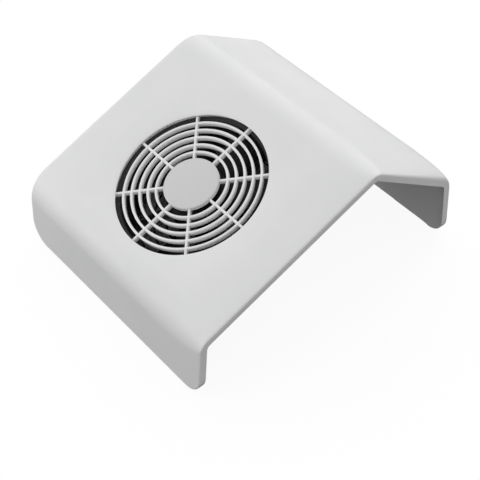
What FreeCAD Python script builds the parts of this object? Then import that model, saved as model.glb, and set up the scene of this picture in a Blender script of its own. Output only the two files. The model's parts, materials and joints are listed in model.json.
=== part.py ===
import FreeCAD, Part
import math
import os
import re

import Sketcher

# Nail dust collector: a bent plastic arch with a sloping top. A fan hangs under a round
# grille in the slope, draws the dust down and blows it into a cloth bag under the arch.
#
# Frames, in millimetres:
#   the profile frame has x across the arch from the low leg to the high leg, z up from the
#   sole of the legs and y along the arch, with y = 0 half way;
#   the fan frame has its origin on the outer face of the slope at the centre of the grille,
#   x up the slope, y along the arch and z out of the slope;
#   both are carried to the part's own frame by PROFILE_FRAME and FAN_FRAME.

V = FreeCAD.Vector

DIMENSIONS = [
    # arch
    ("arch_depth", 240, "length of the arch, open end to open end"),
    ("wall", 6.8, "thickness of the shell"),
    ("roll_length", 45, "stretch behind the front rim over which the bends open up"),
    ("low_foot_x", -6.4, "outer edge of the low leg's sole"),
    ("rim_low_x", 0, "front rim: low bend"),
    ("rim_low_z", 56.7, "front rim: low bend"),
    ("rim_apex_x", 178.8, "front rim: apex"),
    ("rim_apex_z", 124.5, "front rim: apex"),
    ("rim_high_x", 264.1, "front rim: high bend"),
    ("rim_high_z", 63.5, "front rim: high bend"),
    ("rim_high_foot_x", 267.6, "front rim: outer edge of the high leg's sole"),
    ("rim_low_radius", 7, "front rim: outer radius of the low bend"),
    ("rim_apex_radius", 9, "front rim: outer radius of the apex"),
    ("rim_high_radius", 14, "front rim: outer radius of the high bend"),
    ("rim_inner_radius", 4, "front rim: inner radius of every bend"),
    ("main_low_x", -0.5, "main section: low bend"),
    ("main_low_z", 58.6, "main section: low bend"),
    ("main_apex_x", 179, "main section: apex"),
    ("main_apex_z", 126.6, "main section: apex"),
    ("main_high_x", 271.35, "main section: high bend"),
    ("main_high_z", 71, "main section: high bend"),
    ("main_high_foot_x", 269, "main section: outer edge of the high leg's sole"),
    ("main_low_radius", 32, "main section: outer radius of the low bend"),
    ("main_apex_radius", 30, "main section: outer radius of the apex"),
    ("main_high_radius", 44, "main section: outer radius of the high bend"),
    ("main_low_inner", 24, "main section: inner radius of the low bend"),
    ("main_apex_inner", 23, "main section: inner radius of the apex"),
    ("main_high_inner", 37, "main section: inner radius of the high bend"),
    ("front_foot_radius", 17, "rounded corner of each leg at the front end"),
    ("back_foot_radius", 22, "rounded corner of each leg at the back end"),
    # feet
    ("foot_thick", 1, "rubber strip under each leg"),
    ("foot_wide", 5, "rubber strip"),
    ("foot_long", 30, "rubber strip"),
    # grille
    ("fan_x", 84.5, "centre of the grille along the profile's x"),
    ("mouth_radius", 65.5, "hole in the shell"),
    ("guard_recess", 4, "bars of the grille below the shell's outer face"),
    ("bar_wide", 2.4, "ring and spoke width"),
    ("ring_radius", 31, "mid radius of the innermost ring"),
    ("ring_pitch", 7.26, "step from one ring to the next"),
    ("hub_radius", 24.2, "flat disc at the middle of the grille"),
    ("hub_rise", 1.2, "hub disc above the bars"),
    ("guard_flange", 2, "thickness of the grille's hidden flange"),
    ("guard_flange_radius", 71.5, "outer radius of the grille's hidden flange"),
    ("gasket_thick", 1.5, "foam between grille and fan"),
    # fan
    ("fan_size", 135, "side of the fan's square frame"),
    ("fan_depth", 38, "depth of the fan"),
    ("fan_corner", 8, "corner radius of the fan's frame"),
    ("fan_bore", 64, "radius of the fan's air duct"),
    ("fan_tube", 66.8, "outer radius of the fan's air duct"),
    ("fan_flange", 3.5, "thickness of the fan's two square flanges"),
    ("screw_offset", 56.65, "mounting hole from the fan's centre, along each side"),
    ("screw_radius", 2, "fan screw"),
    ("screw_hole", 2.25, "hole in the fan's flanges"),
    ("boss_radius", 5, "screw boss under the shell"),
    ("thread_deep", 6.3, "screw held in boss and shell"),
    ("base_radius", 30, "motor base at the outlet side"),
    ("base_thick", 3, "motor base"),
    ("strut_wide", 7, "arms between motor base and duct"),
    ("strut_thick", 4, "arms between motor base and duct"),
    ("sleeve_radius", 8, "brass bearing tube"),
    ("bearing_radius", 6.5, "ball bearing"),
    ("bearing_wide", 5, "ball bearing"),
    ("shaft_radius", 2, "fan shaft"),
    ("shaft_play", 0.03, "running clearance of the shaft, on the radius"),
    ("stator_radius", 21, "laminated core"),
    ("stator_thick", 16, "laminated core"),
    ("rotor_inner", 21.6, "inside of the rotor cup"),
    ("rotor_outer", 24.6, "outside of the rotor cup"),
    ("impeller_hub", 27.2, "outside of the impeller's hub"),
    ("impeller_tip", 62.6, "blade tip radius"),
    ("blade_chord", 34, "blade"),
    ("blade_thick", 1.8, "blade"),
    # bag
    ("bag_gap", 0.4, "bag's mouth clear of the fan frame"),
    ("bag_wall", 1.5, "cloth with its folds"),
    ("bag_collar", 9, "height of the bag's mouth round the fan frame"),
    ("elastic_thick", 1.5, "elastic band round the mouth"),
    ("elastic_wide", 5, "elastic band round the mouth"),
    ("bag_bottom", 11, "underside of the bag above the sole"),
    # switch and inlet panel on the high leg
    ("panel_x", 266.6, "outer face of the panel"),
    ("panel_thick", 2.5, "panel"),
    ("panel_z", 29, "centre height of switch and inlet"),
    ("panel_y", 61, "middle of the panel"),
    ("seat_long", 74, "flat seat round switch and inlet"),
    ("seat_high", 34, "flat seat round switch and inlet"),
    ("relief_long", 68, "thinned area behind the seat"),
    ("relief_high", 28, "thinned area behind the seat"),
    ("switch_hole_long", 19.2, "cutout for the switch"),
    ("switch_hole_high", 13.2, "cutout for the switch"),
    ("inlet_hole_long", 20.4, "cutout for the inlet"),
    ("inlet_hole_high", 10.4, "cutout for the inlet"),
    ("flange_hole", 1.65, "radius of the holes for the inlet's screws"),
    ("switch_y", 40, "centre of the switch"),
    ("inlet_y", 75, "centre of the inlet"),
    ("pivot_x", 263.8, "hinge line of the rocker"),
    ("pin_radius", 1, "hinge pin of the rocker"),
    ("pin_play", 0.05, "running clearance of the hinge pin, on the radius"),
    ("contact_pitch", 8.6, "centre distance of the inlet's two pins"),
    ("flange_screw_y", 14, "inlet screw from the inlet's centre"),
    # leads
    ("sheath_radius", 2.5, "two-core lead to the fan"),
    ("core_radius", 0.9, "single cores"),
]

RING_COUNT = 5
SPOKE_COUNT = 8
BLADE_COUNT = 7
BLADE_PITCH = 35.0
POLE_COUNT = 4
ROCKER_TILT = 10.0
STATIONS = (0, 4, 12, 24, 45)

doc = FreeCAD.newDocument("nail_dust_collector")
sheet = doc.addObject("Spreadsheet::Sheet", "Dims")
size = {}
for row, (alias, number, meaning) in enumerate(DIMENSIONS, 1):
    sheet.set(f"A{row}", meaning)
    sheet.set(f"B{row}", str(number))
    sheet.setAlias(f"B{row}", alias)
doc.recompute()
for alias, number, meaning in DIMENSIONS:
    size[alias] = float(sheet.get(alias))


# ---------------------------------------------------------------- formulas and frames

def formula(text):
    """A formula in the sheet's names, as an expression of the document."""

    def named(found):
        word = found.group(0)
        return f"Dims.{word}" if word in size else word

    return re.sub(r"[a-z_]+", named, str(text))


def bind(thing, prop, text):
    thing.setExpression(prop, formula(text))


SLOPE = math.degrees(
    math.atan2(
        size["main_apex_z"] - size["main_low_z"],
        size["main_apex_x"] - size["main_low_x"],
    )
)
FAN_Z = size["main_low_z"] + (size["fan_x"] - size["main_low_x"]) * math.tan(math.radians(SLOPE))


def widest_x():
    """The outermost x of the high bend in the main section."""
    apex = V(size["main_apex_x"], size["main_apex_z"], 0)
    bend = V(size["main_high_x"], size["main_high_z"], 0)
    foot = V(size["main_high_foot_x"], 0, 0)
    back = (apex - bend).normalize()
    ahead = (foot - bend).normalize()
    half = back.getAngle(ahead) / 2
    radius = size["main_high_radius"]
    centre = bend + (back + ahead).normalize() * (radius / math.sin(half))
    return centre.x + radius


# The middle of the whole part's box lies over the frame's origin.
CENTRE_X = (size["low_foot_x"] + widest_x()) / 2
PROFILE_FRAME = FreeCAD.Placement(V(-CENTRE_X, 0, size["foot_thick"]), FreeCAD.Rotation())
SLOPE_TURN = FreeCAD.Rotation(V(0, 1, 0), -SLOPE)
IN_SLOPE = FreeCAD.Placement(V(size["fan_x"], 0, FAN_Z), SLOPE_TURN)
FAN_FRAME = PROFILE_FRAME.multiply(IN_SLOPE)

# Heights along the fan's axis, below the shell's outer face.
SHELL_UNDER = "(-wall)"
FLANGE_UNDER = "(-wall - guard_flange)"
FAN_TOP = "(-wall - guard_flange - gasket_thick)"
FAN_UNDER = "(-wall - guard_flange - gasket_thick - fan_depth)"
fan_top = -(size["wall"] + size["guard_flange"] + size["gasket_thick"])
fan_under = fan_top - size["fan_depth"]


# ---------------------------------------------------------------- Part workbench helpers

def primitive(kind, name, sizes, at=(0, 0, 0), turn=None):
    thing = doc.addObject(f"Part::{kind}", name)
    for prop, text in sizes.items():
        bind(thing, prop, text)
    if turn is not None:
        thing.Placement = FreeCAD.Placement(V(0, 0, 0), turn)
    for letter, text in zip("xyz", at):
        bind(thing, f"Placement.Base.{letter}", text)
    return thing


def cylinder(name, radius, height, at=(0, 0, 0), turn=None):
    return primitive("Cylinder", name, {"Radius": radius, "Height": height}, at, turn)


def box(name, long, wide, high, at=(0, 0, 0)):
    """A box centred on at in x and y, standing on at in z."""
    corner = (f"({at[0]}) - ({long}) / 2", f"({at[1]}) - ({wide}) / 2", at[2])
    return primitive("Box", name, {"Length": long, "Width": wide, "Height": high}, corner)


def arm(name, inner, outer, wide, high, base_z, angle):
    """A radial bar from one radius to another, turned about the z axis."""
    turn = FreeCAD.Rotation(V(0, 0, 1), angle)
    cosine = round(math.cos(math.radians(angle)), 9)
    sine = round(math.sin(math.radians(angle)), 9)
    corner = (
        f"({inner}) * ({cosine}) + ({wide}) / 2 * ({sine})",
        f"({inner}) * ({sine}) - ({wide}) / 2 * ({cosine})",
        base_z,
    )
    sizes = {"Length": f"({outer}) - ({inner})", "Width": wide, "Height": high}
    return primitive("Box", name, sizes, corner, turn)


def combine(kind, name, things):
    """Part::MultiFuse, Part::MultiCommon or Part::Compound of several objects."""
    result = doc.addObject(f"Part::{kind}", name)
    if kind == "Compound":
        result.Links = things
    else:
        result.Shapes = things
    return result


def cut(name, base, tools):
    tool = tools[0] if len(tools) == 1 else combine("MultiFuse", f"{name}_tools", tools)
    result = doc.addObject("Part::Cut", name)
    result.Base = base
    result.Tool = tool
    return result


def tube(name, outer, inner, height, base_z):
    """A hollow cylinder about the z axis."""
    solid = cylinder(f"{name}_outside", outer, height, (0, 0, base_z))
    hole = cylinder(f"{name}_hole", inner, f"({height}) + 2", (0, 0, f"({base_z}) - 1"))
    return cut(name, solid, [hole])


def across(name, radius, start_x, end_x, y, z):
    """A cylinder along x."""
    turn = FreeCAD.Rotation(V(0, 1, 0), 90)
    return cylinder(name, radius, f"({end_x}) - ({start_x})", (start_x, y, z), turn)


def placed(thing, frame):
    """Gives a finished sub-part its place and keeps it for the export."""
    thing.Placement = frame
    thing.Label = thing.Name
    PIECES.append(thing)
    return thing


PIECES = []


# ---------------------------------------------------------------- PartDesign helpers

def new_body(name):
    return doc.addObject("PartDesign::Body", name)


def new_sketch(body, name, plane="XY_Plane", offset=0):
    """A sketch on one of its body's origin planes, moved along the plane's normal."""
    sketch = body.newObject("Sketcher::SketchObject", f"{body.Name}_{name}")
    support = [item for item in body.Origin.OriginFeatures if item.Role == plane][0]
    sketch.AttachmentSupport = [(support, "")]
    sketch.MapMode = "FlatFace"
    bind(sketch, "AttachmentOffset.Base.z", offset)
    return sketch


def constrain(sketch, kind, *details, text=None):
    number = sketch.addConstraint(Sketcher.Constraint(kind, *details))
    if text is not None:
        bind(sketch, f"Constraints[{number}]", text)
    return number


def add_circle(sketch, radius, x=None, y=None):
    """A circle on the sketch's origin, or at a place in the positive quarter."""
    circle = sketch.addGeometry(Part.Circle(V(1, 1, 0), V(0, 0, 1), 2), False)
    constrain(sketch, "Radius", circle, 2, text=radius)
    if x is None:
        constrain(sketch, "Coincident", circle, 3, -1, 1)
    else:
        constrain(sketch, "DistanceX", -1, 1, circle, 3, 1, text=x)
        constrain(sketch, "DistanceY", -1, 1, circle, 3, 1, text=y)
    return circle


def add_rounded_rectangle(sketch, half_x, half_y, radius, start):
    """A rectangle about the origin; start holds its half sides and corner radius in numbers."""
    a, b, r = start
    tangents = [
        ((a, -b + r), (a, b - r), (a - r, b - r), 0),
        ((a - r, b), (-a + r, b), (-a + r, b - r), 90),
        ((-a, b - r), (-a, -b + r), (-a + r, -b + r), 180),
        ((-a + r, -b), (a - r, -b), (a - r, -b + r), 270),
    ]
    lines = []
    arcs = []
    for first, last, centre, angle in tangents:
        lines.append(sketch.addGeometry(Part.LineSegment(V(*first, 0), V(*last, 0)), False))
        circle = Part.Circle(V(*centre, 0), V(0, 0, 1), r)
        arc = Part.ArcOfCircle(circle, math.radians(angle), math.radians(angle + 90))
        arcs.append(sketch.addGeometry(arc, False))
    for index in range(4):
        constrain(sketch, "Tangent", lines[index], 2, arcs[index], 1)
        constrain(sketch, "Tangent", arcs[index], 2, lines[(index + 1) % 4], 1)
    constrain(sketch, "Vertical", lines[0])
    constrain(sketch, "Vertical", lines[2])
    constrain(sketch, "Horizontal", lines[1])
    constrain(sketch, "Horizontal", lines[3])
    for index in range(3):
        constrain(sketch, "Equal", arcs[index], arcs[index + 1])
    constrain(sketch, "Radius", arcs[0], r, text=radius)
    constrain(sketch, "Distance", -1, 1, lines[0], a, text=half_x)
    constrain(sketch, "Distance", -1, 1, lines[2], a, text=half_x)
    constrain(sketch, "Distance", -1, 1, lines[1], b, text=half_y)
    constrain(sketch, "Distance", -1, 1, lines[3], b, text=half_y)


def add_rectangle(sketch, x, y, long, wide, start):
    """A plain rectangle with its centre at x, y; start holds the four sizes in numbers."""
    cx, cy, a, b = start
    corners = [
        (cx - a / 2, cy - b / 2),
        (cx + a / 2, cy - b / 2),
        (cx + a / 2, cy + b / 2),
        (cx - a / 2, cy + b / 2),
    ]
    lines = []
    for index in range(4):
        first = V(*corners[index], 0)
        last = V(*corners[(index + 1) % 4], 0)
        lines.append(sketch.addGeometry(Part.LineSegment(first, last), False))
    for index in range(4):
        constrain(sketch, "Coincident", lines[index], 2, lines[(index + 1) % 4], 1)
    for index in (0, 2):
        constrain(sketch, "Horizontal", lines[index])
    for index in (1, 3):
        constrain(sketch, "Vertical", lines[index])
    constrain(sketch, "DistanceX", lines[0], 1, lines[0], 2, a, text=long)
    constrain(sketch, "DistanceY", lines[1], 1, lines[1], 2, b, text=wide)
    left = f"({x}) - ({long}) / 2"
    low = f"({y}) - ({wide}) / 2"
    constrain(sketch, "DistanceX", -1, 1, lines[0], 1, corners[0][0], text=left)
    constrain(sketch, "DistanceY", -1, 1, lines[0], 1, corners[0][1], text=low)


def extrude(kind, body, sketch, length, down=False):
    """A pad or a pocket; a pad goes along the normal and a pocket against it, unless turned."""
    feature = body.newObject(f"PartDesign::{kind}", f"{sketch.Name}_{kind.lower()}")
    feature.Profile = sketch
    feature.Reversed = down if kind == "Pad" else not down
    bind(feature, "Length", length)
    before = body.Shape.Volume if body.Shape and not body.Shape.isNull() else 0.0
    doc.recompute()
    change = body.Shape.Volume - before
    if (kind == "Pad" and change < 0.1) or (kind == "Pocket" and change > -0.1):
        raise RuntimeError(f"{feature.Name} changes nothing")
    return feature


def pad(body, sketch, length, down=False):
    return extrude("Pad", body, sketch, length, down)


def pocket(body, sketch, length, down=True):
    return extrude("Pocket", body, sketch, length, down)


def polar(body, feature, sketch, count):
    """Repeats a feature about the normal through its sketch's origin."""
    pattern = body.newObject("PartDesign::PolarPattern", f"{feature.Name}_polar")
    pattern.Originals = [feature]
    pattern.Axis = (sketch, ["N_Axis"])
    pattern.Angle = 360
    pattern.Occurrences = count
    body.Tip = pattern
    doc.recompute()
    return pattern


# ---------------------------------------------------------------- shell

PROFILE_POINTS = ("low", "apex", "high")
SHELL_CUT = 10


def bend_blend(station):
    """0 at the front rim and 1 where the main section is reached, as a quarter ellipse."""
    left = 1 - station / size["roll_length"]
    return math.sqrt(1 - left * left)


def mixed(rim, main, blend):
    """A size between the front rim and the main section, as a formula and as a number."""
    text = f"{rim} + ({main} - {rim}) * {round(blend, 6)}"
    number = size[rim] + (size[main] - size[rim]) * blend
    return text, number


def bent_line(corners, radii):
    """Start and end of each straight run and centre of each arc along a rounded polyline."""
    cuts = [(corners[0], corners[0])]
    centres = []
    for before, corner, after, radius in zip(corners, corners[1:], corners[2:], radii):
        back = (before - corner).normalize()
        ahead = (after - corner).normalize()
        half = back.getAngle(ahead) / 2
        run = radius / math.tan(half)
        cuts.append((corner + back * run, corner + ahead * run))
        middle = (back + ahead).normalize()
        centres.append(corner + middle * (radius / math.sin(half)))
    cuts.append((corners[-1], corners[-1]))
    lines = [(cuts[i][1], cuts[i + 1][0]) for i in range(len(cuts) - 1)]
    return lines, centres


def add_bent_line(sketch, corners, radii):
    """Draws a rounded polyline and returns its lines and arcs; every bend turns clockwise."""
    runs, centres = bent_line(corners, radii)
    lines = [sketch.addGeometry(Part.LineSegment(*run), False) for run in runs]
    arcs = []
    for index, (centre, radius) in enumerate(zip(centres, radii)):
        circle = Part.Circle(centre, V(0, 0, 1), radius)
        late = runs[index][1] - centre
        early = runs[index + 1][0] - centre
        start = math.atan2(early.y, early.x)
        end = math.atan2(late.y, late.x)
        arcs.append(sketch.addGeometry(Part.ArcOfCircle(circle, start, end), False))
    for index, bend in enumerate(arcs):
        constrain(sketch, "Tangent", lines[index], 2, bend, 2)
        constrain(sketch, "Tangent", bend, 1, lines[index + 1], 1)
    return lines, arcs


def offset_corners(corners, distance):
    """The corners of the polyline inside this one, at a distance from each run."""
    normals = []
    for first, last in zip(corners, corners[1:]):
        run = (last - first).normalize()
        normals.append(V(run.y, -run.x, 0))
    inner = []
    first_run = (corners[1] - corners[0]).normalize()
    inner.append(corners[0] + V(distance / abs(first_run.y), 0, 0))
    for corner, before, after in zip(corners[1:], normals, normals[1:]):
        middle = (before + after).normalize()
        inner.append(corner + middle * (distance / middle.dot(before)))
    last_run = (corners[-1] - corners[-2]).normalize()
    inner.append(corners[-1] - V(distance / abs(last_run.y), 0, 0))
    return inner


def shell_section(body, number, station, blend):
    """The closed outline of the bent wall at one station along the arch."""
    sketch = new_sketch(body, f"section_{number}", "XZ_Plane", f"arch_depth / 2 - ({station})")
    texts = [("low_foot_x", "0")]
    corners = [V(size["low_foot_x"], 0, 0)]
    radii = []
    for name in PROFILE_POINTS:
        x_text, x = mixed(f"rim_{name}_x", f"main_{name}_x", blend)
        z_text, z = mixed(f"rim_{name}_z", f"main_{name}_z", blend)
        texts.append((x_text, z_text))
        corners.append(V(x, z, 0))
        radii.append(mixed(f"rim_{name}_radius", f"main_{name}_radius", blend))
    foot_text, foot_x = mixed("rim_high_foot_x", "main_high_foot_x", blend)
    texts.append((foot_text, "0"))
    corners.append(V(foot_x, 0, 0))
    inner_radii = [
        mixed("rim_inner_radius", f"main_{name}_inner", blend) for name in PROFILE_POINTS
    ]

    lines, arcs = add_bent_line(sketch, corners, [radius for text, radius in radii])
    for arc, (text, radius) in zip(arcs, radii):
        constrain(sketch, "Radius", arc, radius, text=text)
    for index, (line, place) in enumerate(((lines[0], 1), (lines[-1], 2))):
        x_text = texts[0][0] if index == 0 else texts[-1][0]
        x = corners[0].x if index == 0 else corners[-1].x
        constrain(sketch, "PointOnObject", line, place, -1)
        constrain(sketch, "DistanceX", -1, 1, line, place, x, text=x_text)
    for index in range(3):
        corner = corners[index + 1]
        point = sketch.addGeometry(Part.Point(corner), True)
        x_text, z_text = texts[index + 1]
        constrain(sketch, "DistanceX", -1, 1, point, 1, corner.x, text=x_text)
        constrain(sketch, "DistanceY", -1, 1, point, 1, corner.y, text=z_text)
        constrain(sketch, "PointOnObject", point, 1, lines[index])
        constrain(sketch, "PointOnObject", point, 1, lines[index + 1])

    inside = offset_corners(corners, size["wall"])
    inner_lines, inner_arcs = add_bent_line(sketch, inside, [number for text, number in inner_radii])
    for arc, (text, number) in zip(inner_arcs, inner_radii):
        constrain(sketch, "Radius", arc, number, text=text)
    for line, inner in zip(lines, inner_lines):
        constrain(sketch, "Parallel", line, inner)
        constrain(sketch, "Distance", inner, 1, line, size["wall"], text="wall")
    for line, inner, place in ((lines[0], inner_lines[0], 1), (lines[-1], inner_lines[-1], 2)):
        constrain(sketch, "PointOnObject", inner, place, -1)
        start = V(sketch.getPoint(line, place))
        end = V(sketch.getPoint(inner, place))
        sole = sketch.addGeometry(Part.LineSegment(start, end), False)
        constrain(sketch, "Coincident", sole, 1, line, place)
        constrain(sketch, "Coincident", sole, 2, inner, place)
    return sketch


def round_foot_corners(body):
    """Takes the square corners off the legs at both open ends."""
    half = size["arch_depth"] / 2
    sketch = new_sketch(body, "foot_corners", "YZ_Plane", "low_foot_x - 20")
    for side, key in ((-1, "front_foot_radius"), (1, "back_foot_radius")):
        radius = size[key]
        corner = V(side * half, 0, 0)
        low = V(side * (half - radius), 0, 0)
        high = V(side * half, radius, 0)
        centre = V(side * (half - radius), radius, 0)
        bottom = sketch.addGeometry(Part.LineSegment(corner, low), False)
        upright = sketch.addGeometry(Part.LineSegment(corner, high), False)
        circle = Part.Circle(centre, V(0, 0, 1), radius)
        ends = (math.pi, 1.5 * math.pi) if side < 0 else (1.5 * math.pi, 2 * math.pi)
        arc = sketch.addGeometry(Part.ArcOfCircle(circle, *ends), False)
        constrain(sketch, "Coincident", bottom, 1, upright, 1)
        constrain(sketch, "Tangent", bottom, 2, arc, 2 if side < 0 else 1)
        constrain(sketch, "Tangent", upright, 2, arc, 1 if side < 0 else 2)
        constrain(sketch, "Horizontal", bottom)
        constrain(sketch, "Vertical", upright)
        constrain(sketch, "PointOnObject", bottom, 1, -1)
        constrain(sketch, "Radius", arc, radius, text=key)
        place = f"({side}) * arch_depth / 2"
        constrain(sketch, "DistanceX", -1, 1, bottom, 1, side * half, text=place)
    pocket(body, sketch, "main_high_x + 60", down=False)


def fan_plane_sketch(body, name, height):
    """A sketch in the fan frame, at a height along the fan's axis."""
    sketch = new_sketch(body, name)
    lift = FreeCAD.Placement(V(0, 0, height), FreeCAD.Rotation())
    sketch.AttachmentOffset = IN_SLOPE.multiply(lift)
    sketch.setExpression("AttachmentOffset.Base.z", None)
    return sketch


def add_panel_rectangle(sketch, y, long, high):
    """A rectangle at the panel's height; all three details name dimensions."""
    start = (size[y], size["panel_z"], size[long], size[high])
    add_rectangle(sketch, y, "panel_z", long, high, start)


def make_shell():
    body = new_body("top_shell")
    sections = []
    for number, station in enumerate(STATIONS):
        sections.append(shell_section(body, number, station, bend_blend(station)))
    sections.append(shell_section(body, len(STATIONS), "arch_depth", 1.0))
    doc.recompute()
    loft = body.newObject("PartDesign::AdditiveLoft", "top_shell_loft")
    loft.Profile = sections[0]
    loft.Sections = sections[1:]
    loft.Ruled = True
    doc.recompute()
    round_foot_corners(body)

    mouth = fan_plane_sketch(body, "mouth", size["wall"])
    add_circle(mouth, "mouth_radius")
    pocket(body, mouth, "wall * 3")

    boss = fan_plane_sketch(body, "boss", -(size["wall"] + size["guard_flange"]))
    add_circle(boss, "boss_radius", "screw_offset", "screw_offset")
    boss_pad = pad(body, boss, "guard_flange + 1")
    polar(body, boss_pad, boss, 4)
    pilot = fan_plane_sketch(body, "pilot", -(size["wall"] + size["guard_flange"]))
    add_circle(pilot, "screw_radius", "screw_offset", "screw_offset")
    pilot_pocket = pocket(body, pilot, "thread_deep", down=False)
    polar(body, pilot_pocket, pilot, 4)

    seat = new_sketch(body, "panel_seat", "YZ_Plane", "panel_x")
    add_panel_rectangle(seat, "panel_y", "seat_long", "seat_high")
    pocket(body, seat, SHELL_CUT, down=False)
    relief = new_sketch(body, "panel_relief", "YZ_Plane", "panel_x - panel_thick")
    add_panel_rectangle(relief, "panel_y", "relief_long", "relief_high")
    pocket(body, relief, SHELL_CUT)
    holes = new_sketch(body, "panel_holes", "YZ_Plane", "panel_x")
    add_panel_rectangle(holes, "switch_y", "switch_hole_long", "switch_hole_high")
    add_panel_rectangle(holes, "inlet_y", "inlet_hole_long", "inlet_hole_high")
    add_circle(holes, "flange_hole", "inlet_y - flange_screw_y", "panel_z")
    add_circle(holes, "flange_hole", "inlet_y + flange_screw_y", "panel_z")
    pocket(body, holes, "panel_thick + 1")
    return placed(body, PROFILE_FRAME)


def make_feet():
    low_x = "low_foot_x + wall / 2"
    high_x = "main_high_foot_x - wall / 2"
    strips = []
    for number, (x, y) in enumerate(((low_x, -80), (low_x, 75), (high_x, -75), (high_x, 75))):
        at = (x, y, "-foot_thick")
        strips.append(box(f"foot_strip_{number}", "foot_wide", "foot_long", "foot_thick", at))
    return placed(combine("Compound", "rubber_feet", strips), PROFILE_FRAME)


# ---------------------------------------------------------------- grille and gasket

def make_guard():
    """Concentric rings and spokes round a flat hub, on a flange hidden under the shell."""
    body = new_body("fan_guard")
    rings = new_sketch(body, "rings", offset="-guard_recess")
    for number in range(RING_COUNT):
        middle = f"ring_radius + ring_pitch * {number}"
        add_circle(rings, f"{middle} - bar_wide / 2")
        add_circle(rings, f"{middle} + bar_wide / 2")
    spoke = new_sketch(body, "spoke", offset="-guard_recess")
    half_run = "(mouth_radius - 0.3 - hub_radius + 2) / 2"
    centre = f"hub_radius - 2 + {half_run}"
    run = size["mouth_radius"] - 0.3 - size["hub_radius"] + 2
    start = (size["hub_radius"] - 2 + run / 2, 0, run, size["bar_wide"])
    add_rectangle(spoke, centre, 0, f"2 * {half_run}", "bar_wide", start)
    hub = new_sketch(body, "hub", offset="hub_rise - guard_recess")
    add_circle(hub, "hub_radius")
    flange = new_sketch(body, "flange", offset=SHELL_UNDER)
    add_circle(flange, "mouth_radius - 0.3")
    add_circle(flange, "guard_flange_radius")
    deep = "wall + guard_flange - guard_recess"
    pad(body, rings, deep, down=True)
    spoke_pad = pad(body, spoke, deep, down=True)
    polar(body, spoke_pad, spoke, SPOKE_COUNT)
    pad(body, hub, "hub_rise + 3", down=True)
    pad(body, flange, "guard_flange", down=True)
    return placed(body, FAN_FRAME)


def make_gasket():
    body = new_body("foam_gasket")
    frame = new_sketch(body, "frame", offset=FAN_TOP)
    half = size["fan_size"] / 2
    add_rounded_rectangle(
        frame, "fan_size / 2", "fan_size / 2", "fan_corner", (half, half, size["fan_corner"])
    )
    add_circle(frame, "fan_bore + 0.5")
    pad(body, frame, "gasket_thick")
    hole = new_sketch(body, "hole", offset=FAN_TOP)
    add_circle(hole, "screw_hole", "screw_offset", "screw_offset")
    first = pocket(body, hole, "gasket_thick", down=False)
    polar(body, first, hole, 4)
    return placed(body, FAN_FRAME)


# ---------------------------------------------------------------- fan

def make_fan_housing():
    """Square-flanged air duct with the motor base and its four arms at the outlet side."""
    body = new_body("fan_housing")
    half = size["fan_size"] / 2
    start = (half, half, size["fan_corner"])
    top = new_sketch(body, "top_flange", offset=FAN_TOP)
    add_rounded_rectangle(top, "fan_size / 2", "fan_size / 2", "fan_corner", start)
    pad(body, top, "fan_flange", down=True)
    duct = new_sketch(body, "duct", offset=FAN_TOP)
    add_circle(duct, "fan_tube")
    pad(body, duct, "fan_depth", down=True)
    under = new_sketch(body, "under_flange", offset=FAN_UNDER)
    add_rounded_rectangle(under, "fan_size / 2", "fan_size / 2", "fan_corner", start)
    pad(body, under, "fan_flange")
    bore = new_sketch(body, "bore", offset=FAN_TOP)
    add_circle(bore, "fan_bore")
    pocket(body, bore, "fan_depth")
    hole = new_sketch(body, "hole", offset=FAN_TOP)
    add_circle(hole, "screw_hole", "screw_offset", "screw_offset")
    first = pocket(body, hole, "fan_depth")
    polar(body, first, hole, 4)
    strut = new_sketch(body, "strut", offset=FAN_UNDER)
    inner = size["base_radius"] - 4
    outer = size["fan_bore"] + 1
    long = outer - inner
    add_rectangle(
        strut, inner + long / 2, 0, long, "strut_wide", (inner + long / 2, 0, long, size["strut_wide"])
    )
    arm_pad = pad(body, strut, "strut_thick")
    polar(body, arm_pad, strut, 4)
    base = new_sketch(body, "base", offset=FAN_UNDER)
    add_circle(base, "base_radius")
    pad(body, base, "base_thick")
    centre = new_sketch(body, "centre", offset=FAN_UNDER)
    add_circle(centre, "sleeve_radius")
    pocket(body, centre, "strut_thick", down=False)
    return placed(body, FAN_FRAME)


def below_top(distance):
    """A height in the fan, measured down from its inlet face."""
    return f"{FAN_TOP} - {distance}"


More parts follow.
